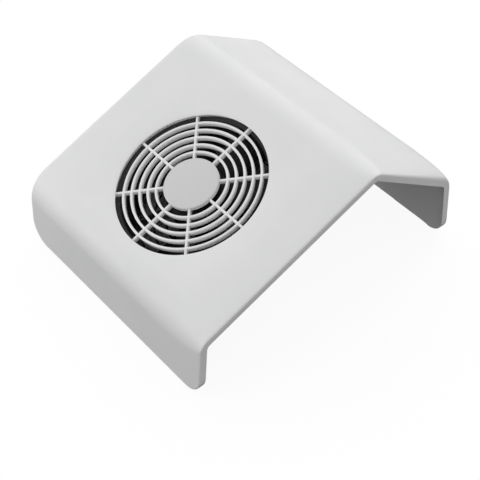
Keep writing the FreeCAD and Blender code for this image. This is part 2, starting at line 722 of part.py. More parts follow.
def make_motor():
    """Everything of the shaded-pole motor that stays with the housing."""
    sleeve = tube("bearing_tube", "sleeve_radius", "bearing_radius", 25.4, below_top(37.4))
    placed(sleeve, FAN_FRAME)
    for name, depth in (("front_bearing", 18), ("rear_bearing", 35)):
        race = "shaft_radius + shaft_play"
        bearing = tube(name, "bearing_radius", race, "bearing_wide", below_top(depth))
        placed(bearing, FAN_FRAME)

    core_low = below_top(31)
    collar = tube("core_collar", "sleeve_radius + 4.5", "sleeve_radius", "stator_thick", core_low)
    rim = tube("core_rim", "stator_radius", "stator_radius - 2.6", "stator_thick", core_low)
    poles = []
    shoe_boxes = []
    coils = []
    for number in range(POLE_COUNT):
        angle = 360.0 / POLE_COUNT * number
        turn = f"{number}"
        poles.append(
            arm(f"pole_{turn}", "sleeve_radius + 3", "stator_radius - 1.5", 7, "stator_thick",
                core_low, angle)
        )
        shoe_boxes.append(
            arm(f"shoe_{turn}", "sleeve_radius + 3", "stator_radius + 2", 22, "stator_thick",
                core_low, angle)
        )
        coil = arm(f"coil_solid_{turn}", 12.8, 17, 11.8, "stator_thick + 5.2",
                   f"{core_low} - 2.6", angle)
        window = arm(f"coil_window_{turn}", 12, 19, 7.2, "stator_thick + 0.2",
                     f"{core_low} - 0.1", angle)
        coils.append(cut(f"coil_{turn}", coil, [window]))
    boxes = combine("MultiFuse", "shoe_boxes", shoe_boxes)
    shoes = combine("MultiCommon", "core_shoes", [rim, boxes])
    placed(combine("MultiFuse", "stator_core", [collar, shoes] + poles), FAN_FRAME)
    placed(combine("Compound", "stator_windings", coils), FAN_FRAME)
    cap = cylinder("cap_disc", 12, 0.8, (0, 0, f"{FAN_UNDER} - 0.8"))
    placed(combine("Compound", "motor_cap", [cap]), FAN_FRAME)


def make_rotor():
    """The turning pieces: steel cup, shaft, spacer, clip and the bladed impeller."""
    skirt = cylinder("cup_outside", "rotor_outer", 24, (0, 0, below_top(32)))
    inside = cylinder("cup_inside", "rotor_inner", 21.8, (0, 0, below_top(32)))
    hollow = cut("cup_shell", skirt, [inside])
    boss = cylinder("cup_boss", 5, 2, (0, 0, below_top(12)))
    solid = combine("MultiFuse", "cup_solid", [hollow, boss])
    bore = cylinder("cup_bore", "shaft_radius", 10, (0, 0, below_top(14)))
    placed(cut("rotor_cup", solid, [bore]), FAN_FRAME)
    rod = cylinder("shaft_rod", "shaft_radius", 28.8, (0, 0, below_top(36.8)))
    placed(combine("Compound", "fan_shaft", [rod]), FAN_FRAME)
    placed(tube("thrust_washer", 3.6, "shaft_radius", 0.9, below_top(12.9)), FAN_FRAME)
    placed(tube("shaft_clip", 4, "shaft_radius", 0.6, below_top(35.75)), FAN_FRAME)

    blades = []
    half_chord = size["blade_chord"] / 2
    for number in range(BLADE_COUNT):
        blade = primitive(
            "Box",
            f"blade_{number}",
            {"Length": 42, "Width": "blade_thick", "Height": "blade_chord"},
        )
        corner = FreeCAD.Placement(
            V(24, -size["blade_thick"] / 2, -half_chord), FreeCAD.Rotation()
        )
        tilt = FreeCAD.Placement(
            V(0, 0, fan_top - 19), FreeCAD.Rotation(V(1, 0, 0), 90 - BLADE_PITCH)
        )
        spin = FreeCAD.Placement(
            V(0, 0, 0), FreeCAD.Rotation(V(0, 0, 1), 360.0 / BLADE_COUNT * number)
        )
        for letter in "xyz":
            blade.setExpression(f"Placement.Base.{letter}", None)
        blade.Placement = spin.multiply(tilt).multiply(corner)
        blades.append(blade)
    hub = cylinder("hub_outside", "impeller_hub", 26, (0, 0, below_top(31.5)))
    wheel = combine("MultiFuse", "wheel", [hub] + blades)
    sweep = cylinder("wheel_sweep", "impeller_tip", 40, (0, 0, below_top(39)))
    trimmed = combine("MultiCommon", "wheel_trimmed", [wheel, sweep])
    inside = cylinder("hub_inside", "rotor_outer", 28, (0, 0, below_top(36)))
    placed(cut("impeller", trimmed, [inside]), FAN_FRAME)


def make_terminals():
    """Connection block at the fan's upper corner, its two tabs and the plug on them."""
    at = (60.5, 44.75, below_top(15.5))
    block = box("block_outside", 11, 12.5, 12, at)
    placed(combine("Compound", "terminal_block", [block]), FAN_FRAME)
    tabs = []
    sockets = []
    for number, y in enumerate((42, 47.5)):
        at = (70, y, below_top(10.4))
        tabs.append(box(f"fan_tab_{number}", 8, 2.8, 0.8, at))
        sockets.append(box(f"plug_socket_{number}", 8, 2.8, 0.8, at))
    placed(combine("Compound", "terminal_tabs", tabs), FAN_FRAME)
    plug = box("plug_outside", 13.7, 12, 7, (73.15, 44.75, below_top(13.5)))
    placed(cut("fan_plug", plug, sockets), FAN_FRAME)


def make_outlet_guard():
    """Wire finger guard over the fan's outlet, held by the four fan screws."""
    wire = 0.8
    level = f"{FAN_UNDER} - {wire}"
    pieces = []
    for number in range(5):
        ring = primitive(
            "Torus", f"wire_ring_{number}", {"Radius1": 15 + 12 * number, "Radius2": wire},
            (0, 0, f"{level} - {1.5 * wire}"),
        )
        pieces.append(ring)
    for number in range(4):
        angle = 45 + 90 * number
        reach = math.sqrt(2) * size["screw_offset"]
        turn = FreeCAD.Rotation(V(0, 0, 1), angle).multiply(FreeCAD.Rotation(V(0, 1, 0), 90))
        cosine = math.cos(math.radians(angle))
        sine = math.sin(math.radians(angle))
        start = (14 * cosine, 14 * sine, level)
        pieces.append(cylinder(f"wire_arm_{number}", 0.85 * wire, reach - 17, start, turn))
        eye_at = (reach * cosine, reach * sine, f"{FAN_UNDER} - {2 * wire}")
        eye = cylinder(f"eye_outside_{number}", 4, 2 * wire, eye_at)
        hole_at = (reach * cosine, reach * sine, f"{FAN_UNDER} - {3 * wire}")
        hole = cylinder(f"eye_hole_{number}", "screw_hole", 4 * wire, hole_at)
        pieces.append(cut(f"eye_{number}", eye, [hole]))
    placed(combine("MultiFuse", "outlet_guard", pieces), FAN_FRAME)


def make_fan_screws():
    screws = []
    washers = []
    for number in range(4):
        x = "screw_offset" if number in (0, 3) else "-screw_offset"
        y = "screw_offset" if number in (0, 1) else "-screw_offset"
        head_top = f"{FAN_UNDER} - 2.4"
        shank_long = f"2.4 + fan_depth + gasket_thick + thread_deep - 0.1"
        shank = cylinder(f"shank_{number}", "screw_radius", shank_long, (x, y, head_top))
        head = cylinder(f"head_{number}", 3.7, 2.6, (x, y, f"{head_top} - 2.6"))
        slot = box(f"slot_{number}", 5, 1, 1.4, (x, y, f"{head_top} - 3"))
        cross = box(f"cross_{number}", 1, 5, 1.4, (x, y, f"{head_top} - 3"))
        solid = combine("MultiFuse", f"screw_solid_{number}", [shank, head])
        screws.append(cut(f"screw_{number}", solid, [slot, cross]))
        disc = cylinder(f"washer_disc_{number}", 4.4, 0.8, (x, y, head_top))
        hole = cylinder(f"washer_hole_{number}", "screw_radius", 3, (x, y, f"{head_top} - 1"))
        washers.append(cut(f"washer_{number}", disc, [hole]))
    placed(combine("Compound", "fan_screws", screws), FAN_FRAME)
    placed(combine("Compound", "screw_washers", washers), FAN_FRAME)


# ---------------------------------------------------------------- dust bag

def bag_sections(body, name, thinner, lift, top):
    """Mouth, shoulder and bottom outlines of the bag; thinner draws its inside."""
    mouth = size["fan_size"] / 2 + size["bag_gap"] + size["bag_wall"] - thinner
    corner = size["fan_corner"] + size["bag_gap"] + size["bag_wall"] - thinner
    collar_z = fan_under + size["bag_collar"] - 1
    shoulder_z = fan_under - 1
    sketches = []
    for number, height in enumerate((collar_z + top, shoulder_z)):
        sketch = new_sketch(body, f"{name}_{number}", offset=height)
        half_text = f"fan_size / 2 + bag_gap + bag_wall - {thinner}"
        corner_text = f"fan_corner + bag_gap + bag_wall - {thinner}"
        add_rounded_rectangle(sketch, half_text, half_text, corner_text, (mouth, mouth, corner))
        sketches.append(sketch)
    level = FreeCAD.Placement(V(126, 0, size["bag_bottom"] + lift), FreeCAD.Rotation())
    floor = new_sketch(body, f"{name}_floor")
    floor.setExpression("AttachmentOffset.Base.z", None)
    floor.AttachmentOffset = IN_SLOPE.inverse().multiply(level)
    start = (64 - thinner, 50 - thinner, 22 - thinner)
    add_rounded_rectangle(
        floor, f"64 - {thinner}", f"50 - {thinner}", f"22 - {thinner}", start
    )
    sketches.append(floor)
    return sketches


def make_bag():
    """Cloth bag whose mouth wraps the fan's outlet flange, hollow and open at the mouth."""
    body = new_body("dust_bag")
    outside = bag_sections(body, "outside", 0, 0, 0)
    doc.recompute()
    loft = body.newObject("PartDesign::AdditiveLoft", "dust_bag_loft")
    loft.Profile = outside[0]
    loft.Sections = outside[1:]
    loft.Ruled = True
    doc.recompute()
    full = body.Shape.Volume
    inside = bag_sections(body, "inside", size["bag_wall"], size["bag_wall"], 1)
    doc.recompute()
    hollow = body.newObject("PartDesign::SubtractiveLoft", "dust_bag_hollow")
    hollow.Profile = inside[0]
    hollow.Sections = inside[1:]
    hollow.Ruled = True
    doc.recompute()
    if body.Shape.Volume > 0.5 * full:
        raise RuntimeError("the bag isn't hollow")
    placed(body, FAN_FRAME)

    band = new_body("bag_elastic")
    ring = new_sketch(band, "ring", offset=f"{FAN_UNDER} + bag_collar - 1 - 6")
    for extra in (0, size["elastic_thick"]):
        half = size["fan_size"] / 2 + size["bag_gap"] + size["bag_wall"] + extra
        corner = size["fan_corner"] + size["bag_gap"] + size["bag_wall"] + extra
        half_text = f"fan_size / 2 + bag_gap + bag_wall + {extra}"
        corner_text = f"fan_corner + bag_gap + bag_wall + {extra}"
        add_rounded_rectangle(ring, half_text, half_text, corner_text, (half, half, corner))
    pad(band, ring, "elastic_wide")
    placed(band, FAN_FRAME)


# ---------------------------------------------------------------- switch and inlet

PANEL_IN = "(panel_x - panel_thick)"


def make_switch():
    """Rocker switch that snaps into the panel of the high leg."""
    at_panel = ("switch_y", "panel_z")
    bezel = box("bezel", 2, 21, 15, ("panel_x + 1", "switch_y", "panel_z - 7.5"))
    case = box("case", 15, 19, 13, ("panel_x - 7.5", "switch_y", "panel_z - 6.5"))
    solid = combine("MultiFuse", "switch_solid", [bezel, case])
    well = box("well", 12, 17, 11, ("panel_x - 2", "switch_y", "panel_z - 5.5"))
    pin_hole = cylinder(
        "pin_hole", "pin_radius + pin_play", 12.6, ("pivot_x", "switch_y", "panel_z - 6.3")
    )
    placed(cut("switch_housing", solid, [well, pin_hole]), PROFILE_FRAME)

    outline = [(-3, 0), (-1.5, 6.5), (1, 7.7), (3.6, 7.7), (2.2, 0), (3.6, -7.7), (1, -7.7), (-1.5, -6.5)]
    body = new_body("rocker_body")
    sketch = new_sketch(body, "side", offset="panel_z - 5.3")
    turn = FreeCAD.Rotation(V(0, 0, 1), -ROCKER_TILT)
    pivot = V(size["pivot_x"], size["switch_y"], 0)
    corners = [pivot + turn.multVec(V(x, y, 0)) for x, y in outline]
    lines = []
    for first, last in zip(corners, corners[1:] + corners[:1]):
        lines.append(sketch.addGeometry(Part.LineSegment(first, last), False))
    for index, line in enumerate(lines):
        constrain(sketch, "Coincident", line, 2, lines[(index + 1) % len(lines)], 1)
        x_text = f"pivot_x + ({round(corners[index].x - pivot.x, 6)})"
        y_text = f"switch_y + ({round(corners[index].y - pivot.y, 6)})"
        constrain(sketch, "DistanceX", -1, 1, line, 1, corners[index].x, text=x_text)
        constrain(sketch, "DistanceY", -1, 1, line, 1, corners[index].y, text=y_text)
    pad(body, sketch, 10.6)
    pin = cylinder("rocker_pin", "pin_radius", 12.4, ("pivot_x", "switch_y", "panel_z - 6.2"))
    placed(combine("MultiFuse", "switch_rocker", [body, pin]), PROFILE_FRAME)

    tabs = []
    for number, y in enumerate((-5, 5)):
        at = ("panel_x - 19", f"{at_panel[0]} + ({y})", f"{at_panel[1]} - 0.4")
        tabs.append(box(f"switch_tab_{number}", 8, 4.8, 0.8, at))
    placed(combine("Compound", "switch_terminals", tabs), PROFILE_FRAME)


def make_inlet():
    """Two-pin mains inlet with its screws and nuts."""
    plate = box("inlet_plate", 2, 36, 15, ("panel_x + 1", "inlet_y", "panel_z - 7.5"))
    case = box("inlet_case", 16, 20.2, 10.2, ("panel_x - 8", "inlet_y", "panel_z - 5.1"))
    solid = combine("MultiFuse", "inlet_solid", [plate, case])
    well_low = "(panel_x - 8)"
    tools = [box("inlet_well", 12, 9.4, 8.2, (f"{well_low} + 6", "inlet_y", "panel_z - 4.1"))]
    pins = []
    for number, side in enumerate((-1, 1)):
        y = f"inlet_y + ({side}) * contact_pitch / 2"
        lobe_y = f"inlet_y + ({side}) * 4.7"
        tools.append(across(f"inlet_lobe_{number}", 4.1, well_low, f"{well_low} + 12", lobe_y, "panel_z"))
        tools.append(across(f"pin_seat_{number}", 1.2, "panel_x - 17", "panel_x", y, "panel_z"))
        rod = across(f"pin_rod_{number}", 1.2, "panel_x - 16.3", "panel_x + 0.5", y, "panel_z")
        tab = box(f"pin_tab_{number}", 7.5, 4, 0.8, ("panel_x - 19.75", y, "panel_z - 0.4"))
        pins.append(combine("MultiFuse", f"inlet_pin_{number}", [rod, tab]))
    screws = []
    nuts = []
    for number, side in enumerate((-1, 1)):
        y = f"inlet_y + ({side}) * flange_screw_y"
        turn = FreeCAD.Rotation(V(0, 1, 0), 90)
        cone = {"Radius1": 1.5, "Radius2": 2.9, "Height": 1.6}
        seat = primitive("Cone", f"cone_seat_{number}", cone, ("panel_x + 0.4", y, "panel_z"), turn)
        tools.append(seat)
        tools.append(across(f"flange_hole_{number}", 1.65, "panel_x - 1", "panel_x + 1", y, "panel_z"))
        head = primitive("Cone", f"cone_head_{number}", cone, ("panel_x + 0.4", y, "panel_z"), turn)
        shank = across(f"inlet_shank_{number}", 1.5, "panel_x - 6.5", "panel_x + 1", y, "panel_z")
        whole = combine("MultiFuse", f"inlet_screw_solid_{number}", [head, shank])
        slot = box(f"inlet_slot_{number}", 1.6, 0.8, 4.4, ("panel_x + 1.9", y, "panel_z - 2.2"))
        screws.append(cut(f"inlet_screw_{number}", whole, [slot]))
        prism = primitive(
            "Prism", f"nut_prism_{number}", {"Polygon": 6, "Circumradius": 3.1, "Height": 2.4},
            (f"{PANEL_IN} - 2.4", y, "panel_z"), turn,
        )
        bore = across(f"nut_bore_{number}", 1.5, "panel_x - 8", "panel_x", y, "panel_z")
        nuts.append(cut(f"inlet_nut_{number}", prism, [bore]))
    placed(cut("inlet_socket", solid, tools), PROFILE_FRAME)
    placed(combine("Compound", "inlet_pins", pins), PROFILE_FRAME)
    placed(combine("Compound", "inlet_screws", screws), PROFILE_FRAME)
    placed(combine("Compound", "inlet_nuts", nuts), PROFILE_FRAME)


# ---------------------------------------------------------------- leads

ARC_SHARE = 0.45
TAIL = 8
PLUG_Y = 44.75


def lead_routes():
    """Routes of the sheathed lead and of its single cores, in the profile frame."""
    level = fan_top - 10
    plug = IN_SLOPE.multVec(V(80, PLUG_Y, level))
    before_plug = IN_SLOPE.multVec(V(93, PLUG_Y, level))
    start = V(233, 33, 47)
    first_turn = V(237, 36, 64)
    sheath = [start, first_turn, V(228, 40, 83.9), V(212, 44, 94.3), V(196, 46, 103.8)]
    sheath += [before_plug, plug]

    along = (first_turn - start).normalize()
    beside = along.cross(V(1, 0, 0)).normalize() * (size["core_radius"] + 0.2)
    ends = [start - beside, start + beside]
    tails = [end - along * TAIL for end in ends]
    switch_y = size["switch_y"]
    inlet_y = size["inlet_y"]
    level = size["panel_z"]
    tab_x = size["panel_x"] - 25.6
    bend_x = tab_x - 8
    link_y = (inlet_y - 4.3, switch_y + 5)
    live_y = switch_y - 5
    neutral_y = inlet_y + 4.3
    cores = {
        "core_link": [
            V(tab_x, link_y[0], level),
            V(bend_x, link_y[0], level),
            V(bend_x - 6, sum(link_y) / 2, level - 1),
            V(bend_x, link_y[1], level),
            V(tab_x, link_y[1], level),
        ],
        "core_live": [
            V(tab_x, live_y, level),
            V(bend_x, live_y, level),
            tails[1],
            ends[1],
        ],
        "core_neutral": [
            V(tab_x, neutral_y, level),
            V(bend_x, neutral_y, level),
            V(bend_x - 7, 68, level + 4),
            V(bend_x - 9, 50, level + 6.5),
            tails[0],
            ends[0],
        ],
    }
    return sheath, cores


def rounded_path(name, points):
    """Straight runs joined by tangent arcs, each as large as its two runs allow."""
    edges = []
    here = points[0]
    radii = []
    for before, corner, after in zip(points, points[1:], points[2:]):
        back = before - corner
        ahead = after - corner
        cut_back = ARC_SHARE * min(back.Length, ahead.Length)
        half = back.getAngle(ahead) / 2
        radius = cut_back * math.tan(half)
        radii.append(round(radius, 1))
        back.normalize()
        ahead.normalize()
        start = corner + back * cut_back
        end = corner + ahead * cut_back
        middle = (back + ahead).normalize()
        centre = corner + middle * (cut_back / math.cos(half))
        through = centre - middle * radius
        edges.append(Part.LineSegment(here, start).toShape())
        edges.append(Part.Arc(start, through, end).toShape())
        here = end
    edges.append(Part.LineSegment(here, points[-1]).toShape())
    print(name, "bend radii", radii)
    return Part.Wire(edges)


def lead(name, points, radius):
    """A round lead along its route, its volume compared with section times length."""
    path = rounded_path(name, points)
    direction = points[1] - points[0]
    section = Part.Wire([Part.Circle(points[0], direction, radius).toShape()])
    solid = path.makePipeShell([section], True, True)
    expected = math.pi * radius * radius * path.Length
    if abs(solid.Volume - expected) > 0.02 * expected:
        raise RuntimeError(f"{name} has the wrong volume")
    thing = doc.addObject("Part::Feature", name)
    thing.Shape = solid
    return thing


def make_leads():
    route, core_routes = lead_routes()
    sheath = lead("fan_lead", route, size["sheath_radius"])
    cores = [lead(name, points, size["core_radius"]) for name, points in core_routes.items()]

    sleeves = []
    ends = [("switch", -5, 0), ("switch", 5, 0), ("inlet", -4.3, 1), ("inlet", 4.3, 1)]
    for number, (owner, offset, kind) in enumerate(ends):
        y = f"{owner}_y + ({offset})"
        wide = 6.4 if kind == 0 else 5.8
        tab_wide = 4.8 if kind == 0 else 4
        outside = box(f"sleeve_{number}", 9, wide, 3.2, ("panel_x - 21.1", y, "panel_z - 1.6"))
        hollow = box(f"sleeve_hole_{number}", 9.4, tab_wide, 0.8, ("panel_x - 18.8", y, "panel_z - 0.4"))
        sleeves.append(cut(f"tab_sleeve_{number}", outside, [hollow]))
    placed(combine("Compound", "tab_sleeves", sleeves), PROFILE_FRAME)

    clips = []
    for number in (2, 3):
        first = route[number]
        last = route[number + 1]
        middle = (first + last) * 0.5
        run = V(size["main_high_x"] - size["main_apex_x"], 0, size["main_high_z"] - size["main_apex_z"])
        run.normalize()
        out = V(-run.z, 0, run.x)
        apex = V(size["main_apex_x"], 0, size["main_apex_z"])
        gap = (apex - middle).dot(out) - size["wall"]
        block = primitive("Box", f"clip_block_{number}", {"Length": 8, "Width": 13, "Height": 7})
        for letter in "xyz":
            block.setExpression(f"Placement.Base.{letter}", None)
        turn = FreeCAD.Rotation(run, V(0, 1, 0), out, "ZXY")
        place = FreeCAD.Placement(middle + out * gap, turn)
        block.Placement = place.multiply(FreeCAD.Placement(V(-4, -6.5, -7), FreeCAD.Rotation()))
        clips.append(cut(f"clip_{number}", block, [sheath]))
    placed(combine("Compound", "cable_clips", clips), PROFILE_FRAME)
    placed(combine("Compound", "lead_cores", cores), PROFILE_FRAME)
    placed(combine("Compound", "fan_cable", [sheath]), PROFILE_FRAME)


# ---------------------------------------------------------------- build, check and export

def check_and_export():
    doc.recompute()
    for thing in doc.Objects:
        for word in ("Invalid", "Error"):
            if word in thing.State:
                raise RuntimeError(f"{thing.Name}: {thing.State}")
    for piece in PIECES:
        shape = piece.Shape
        if shape.isNull() or not shape.isValid() or not shape.Solids:
            raise RuntimeError(f"{piece.Label} has no valid solid")
    os.makedirs("parts", exist_ok=True)
    whole = FreeCAD.BoundBox()
    for piece in PIECES:
        piece.Shape.exportStep(f"parts/{piece.Label}.step")
        whole.add(piece.Shape.BoundBox)
        print(f"{piece.Label}: {len(piece.Shape.Solids)} solids, {piece.Shape.Volume:.0f} mm3")
    print(f"whole {whole}")
    print("fan axis", FAN_FRAME.Base, FAN_FRAME.Rotation.multVec(V(0, 0, 1)))
    pivot = V(size["pivot_x"], size["switch_y"], size["panel_z"])
    print("rocker pivot", PROFILE_FRAME.multVec(pivot))


make_shell()
make_feet()
make_guard()
make_gasket()
make_fan_housing()
make_motor()
make_rotor()
make_terminals()
make_outlet_guard()
make_fan_screws()
make_bag()
make_switch()
make_inlet()
make_leads()
check_and_export()
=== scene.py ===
import json
import math

import bmesh
import bpy
from mathutils import Euler, Matrix, Vector, noise

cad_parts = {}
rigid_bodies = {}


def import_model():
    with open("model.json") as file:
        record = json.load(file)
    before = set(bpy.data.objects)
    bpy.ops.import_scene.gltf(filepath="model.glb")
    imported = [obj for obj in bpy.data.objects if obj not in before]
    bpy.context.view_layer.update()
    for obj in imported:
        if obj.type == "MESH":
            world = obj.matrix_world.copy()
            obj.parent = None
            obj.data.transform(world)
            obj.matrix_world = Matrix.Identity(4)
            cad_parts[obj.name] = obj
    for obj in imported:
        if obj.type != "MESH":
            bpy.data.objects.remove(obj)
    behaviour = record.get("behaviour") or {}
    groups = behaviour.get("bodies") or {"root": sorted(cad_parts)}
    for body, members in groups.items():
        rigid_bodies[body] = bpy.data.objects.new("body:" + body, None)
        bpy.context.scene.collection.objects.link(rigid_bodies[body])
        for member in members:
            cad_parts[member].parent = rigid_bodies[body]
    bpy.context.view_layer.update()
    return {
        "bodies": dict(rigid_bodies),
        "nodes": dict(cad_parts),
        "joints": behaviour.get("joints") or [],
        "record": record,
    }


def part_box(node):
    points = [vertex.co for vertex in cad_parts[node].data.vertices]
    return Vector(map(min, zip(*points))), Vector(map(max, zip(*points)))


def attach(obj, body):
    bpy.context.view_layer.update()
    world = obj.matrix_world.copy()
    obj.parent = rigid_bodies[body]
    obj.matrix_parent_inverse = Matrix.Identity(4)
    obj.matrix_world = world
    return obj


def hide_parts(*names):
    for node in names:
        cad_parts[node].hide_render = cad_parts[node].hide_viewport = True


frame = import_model()

# ---------------------------------------------------------------- frames
# Pieces are drawn in millimetres in two frames. The profile frame has x across the arch, z up
# from the soles and y along the arch from its middle. The fan frame lies in the outer face of
# the slope at the grille's centre: x up the slope, z out of it.

MM = 0.001
WALL = 6.8
HALF_DEPTH = 120.0
FOOT_X = -6.4
FAN_X = 84.5
LOW_BEND = (-0.5, 58.6)
APEX = (179.0, 126.6)

shell_low, shell_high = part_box("top_shell")
PROFILE = Matrix.Translation((shell_low.x - FOOT_X * MM, 0, shell_low.z)) @ Matrix.Scale(MM, 4)
SLOPE = math.atan2(APEX[1] - LOW_BEND[1], APEX[0] - LOW_BEND[0])
FAN_Z = LOW_BEND[1] + (FAN_X - LOW_BEND[0]) * math.tan(SLOPE)
FAN = PROFILE @ Matrix.Translation((FAN_X, 0, FAN_Z)) @ Matrix.Rotation(-SLOPE, 4, "Y")


# ---------------------------------------------------------------- material helpers

class Nodes:
    """A material's node tree with short calls for the few nodes used here."""

    def __init__(self, name):
        self.material = bpy.data.materials.new(name)
        self.material.use_nodes = True
        self.tree = self.material.node_tree
        self.shader = self.tree.nodes["Principled BSDF"]
        coordinate = self.tree.nodes.new("ShaderNodeTexCoord")
        self.place = coordinate.outputs["Object"]

    def link(self, output, target):
        self.tree.links.new(output, target)

    def noise(self, scale, detail):
        node = self.tree.nodes.new("ShaderNodeTexNoise")
        node.inputs["Scale"].default_value = scale
        node.inputs["Detail"].default_value = detail
        node.inputs["Roughness"].default_value = 0.55
        self.link(self.place, node.inputs["Vector"])
        return node.outputs["Fac"]

    def voronoi(self, scale):
        node = self.tree.nodes.new("ShaderNodeTexVoronoi")
        node.inputs["Scale"].default_value = scale
        self.link(self.place, node.inputs["Vector"])
        return node.outputs["Distance"]

    def wave(self, scale, direction, distortion):
        node = self.tree.nodes.new("ShaderNodeTexWave")
        node.bands_direction = direction
        node.inputs["Scale"].default_value = scale
        node.inputs["Distortion"].default_value = distortion
        node.inputs["Detail"].default_value = 1.0
        self.link(self.place, node.inputs["Vector"])
        return node.outputs["Fac"]

    def math(self, operation, first, second):
        node = self.tree.nodes.new("ShaderNodeMath")
        node.operation = operation
        for socket, value in zip(node.inputs, (first, second)):
            if isinstance(value, (int, float)):
                socket.default_value = value
            else:
                self.link(value, socket)
        return node.outputs["Value"]

    def remap(self, value, low, high, from_low=0.3, from_high=0.7):
        node = self.tree.nodes.new("ShaderNodeMapRange")
        node.inputs["From Min"].default_value = from_low
        node.inputs["From Max"].default_value = from_high
        node.inputs["To Min"].default_value = low
        node.inputs["To Max"].default_value = high
        self.link(value, node.inputs["Value"])
        return node.outputs["Result"]

    def mix(self, factor, first, second):
        node = self.tree.nodes.new("ShaderNodeMix")
        node.data_type = "RGBA"
        self.link(factor, node.inputs["Factor"])
        for name, value in (("A", first), ("B", second)):
            socket = [s for s in node.inputs if s.name == name and s.type == "RGBA"][0]
            if isinstance(value, tuple):
                socket.default_value = (*value, 1.0)
            else:
                self.link(value, socket)
        return [s for s in node.outputs if s.type == "RGBA"][0]

    def bump(self, height, strength, distance, normal=None):
        node = self.tree.nodes.new("ShaderNodeBump")
        node.inputs["Strength"].default_value = strength
        node.inputs["Distance"].default_value = distance
        self.link(height, node.inputs["Height"])
        if normal is not None:
            self.link(normal, node.inputs["Normal"])
        return node.outputs["Normal"]

    def edges(self):
        """1 along convex edges and 0 on flat stretches."""
        node = self.tree.nodes.new("ShaderNodeNewGeometry")
        return self.remap(node.outputs["Pointiness"], 0.0, 1.0, 0.515, 0.56)


def moulded_plastic(name, colour, shade, rough, grain=1.0, worn=None):
    """Moulded plastic: fine spark-eroded grain, cloudy tone, fine specks, rubbed edges."""
    n = Nodes(name)
    cloud = n.remap(n.noise(14, 3), 0.0, 1.0)
    speck = n.remap(n.noise(900, 2), 0.0, 1.0, 0.35, 0.65)
    base = n.mix(cloud, colour, shade)
    fine = tuple(c * 0.97 for c in colour)
    base = n.mix(n.math("MULTIPLY", speck, 0.35), base, fine)
    if worn is not None:
        rubbed = n.math("MULTIPLY", n.edges(), n.remap(n.noise(60, 4), 0.2, 1.0))
        base = n.mix(n.math("MULTIPLY", rubbed, 0.5), base, worn)
    n.link(base, n.shader.inputs["Base Color"])
    n.link(n.remap(n.noise(38, 5), rough - 0.05, rough + 0.07), n.shader.inputs["Roughness"])
    coarse = n.bump(n.noise(160, 2), 0.05 * grain, 0.0006)
    n.link(n.bump(n.noise(1500, 2), 0.10 * grain, 0.0002, coarse), n.shader.inputs["Normal"])
    n.shader.inputs["Specular IOR Level"].default_value = 0.3
    return n.material


def tint_disc(material, colour, place, radius):
    """Colours what lies within a radius of a point, such as the disc on the grille's hub."""
    tree = material.node_tree
    link = tree.links.new
    socket = tree.nodes["Principled BSDF"].inputs["Base Color"]
    before = socket.links[0].from_socket
    coordinate = tree.nodes.new("ShaderNodeTexCoord")
    reach = tree.nodes.new("ShaderNodeVectorMath")
    reach.operation = "DISTANCE"
    reach.inputs[1].default_value = place
    link(coordinate.outputs["Object"], reach.inputs[0])
    inside = tree.nodes.new("ShaderNodeMath")
    inside.operation = "LESS_THAN"
    inside.inputs[1].default_value = radius
    link(reach.outputs["Value"], inside.inputs[0])
    mix = tree.nodes.new("ShaderNodeMix")
    mix.data_type = "RGBA"
    link(inside.outputs["Value"], mix.inputs["Factor"])
    first, second = [s for s in mix.inputs if s.type == "RGBA"]
    link(before, first)
    second.default_value = (*colour, 1.0)
    link([s for s in mix.outputs if s.type == "RGBA"][0], socket)


def metal(name, colour, shade, rough, brushed=None):
    """Bare metal with machining or brush lines along one axis and slight tarnish."""
    n = Nodes(name)
    tarnish = n.remap(n.noise(90, 5), 0.0, 1.0)
    n.link(n.mix(tarnish, colour, shade), n.shader.inputs["Base Color"])
    n.shader.inputs["Metallic"].default_value = 1.0
    n.link(n.remap(n.noise(220, 4), rough - 0.06, rough + 0.12), n.shader.inputs["Roughness"])
    lines = n.wave(900, brushed, 2.0) if brushed else n.noise(1800, 2)
    n.link(n.bump(lines, 0.15, 0.0001), n.shader.inputs["Normal"])
    return n.material


def rubber(name, colour, rough=0.8):
    """Rubber or soft sheathing: mottled, with a fine pebbled surface."""
    n = Nodes(name)
    shade = tuple(c * 1.6 + 0.01 for c in colour)
    n.link(n.mix(n.remap(n.noise(50, 5), 0.0, 1.0), colour, shade), n.shader.inputs["Base Color"])
    n.link(n.remap(n.noise(120, 3), rough - 0.1, rough + 0.1), n.shader.inputs["Roughness"])
    n.link(n.bump(n.voronoi(1600), 0.2, 0.0002), n.shader.inputs["Normal"])
    return n.material


def foam(name, colour):
    """Foam whose cell walls stand out from its darker cells."""
    n = Nodes(name)
    cells = n.voronoi(1400)
    n.link(n.mix(n.remap(cells, 0.0, 1.0, 0.0, 0.6), tuple(c * 0.4 for c in colour), colour),
           n.shader.inputs["Base Color"])
    n.shader.inputs["Roughness"].default_value = 0.95
    n.link(n.bump(cells, 0.8, 0.0005), n.shader.inputs["Normal"])
    return n.material


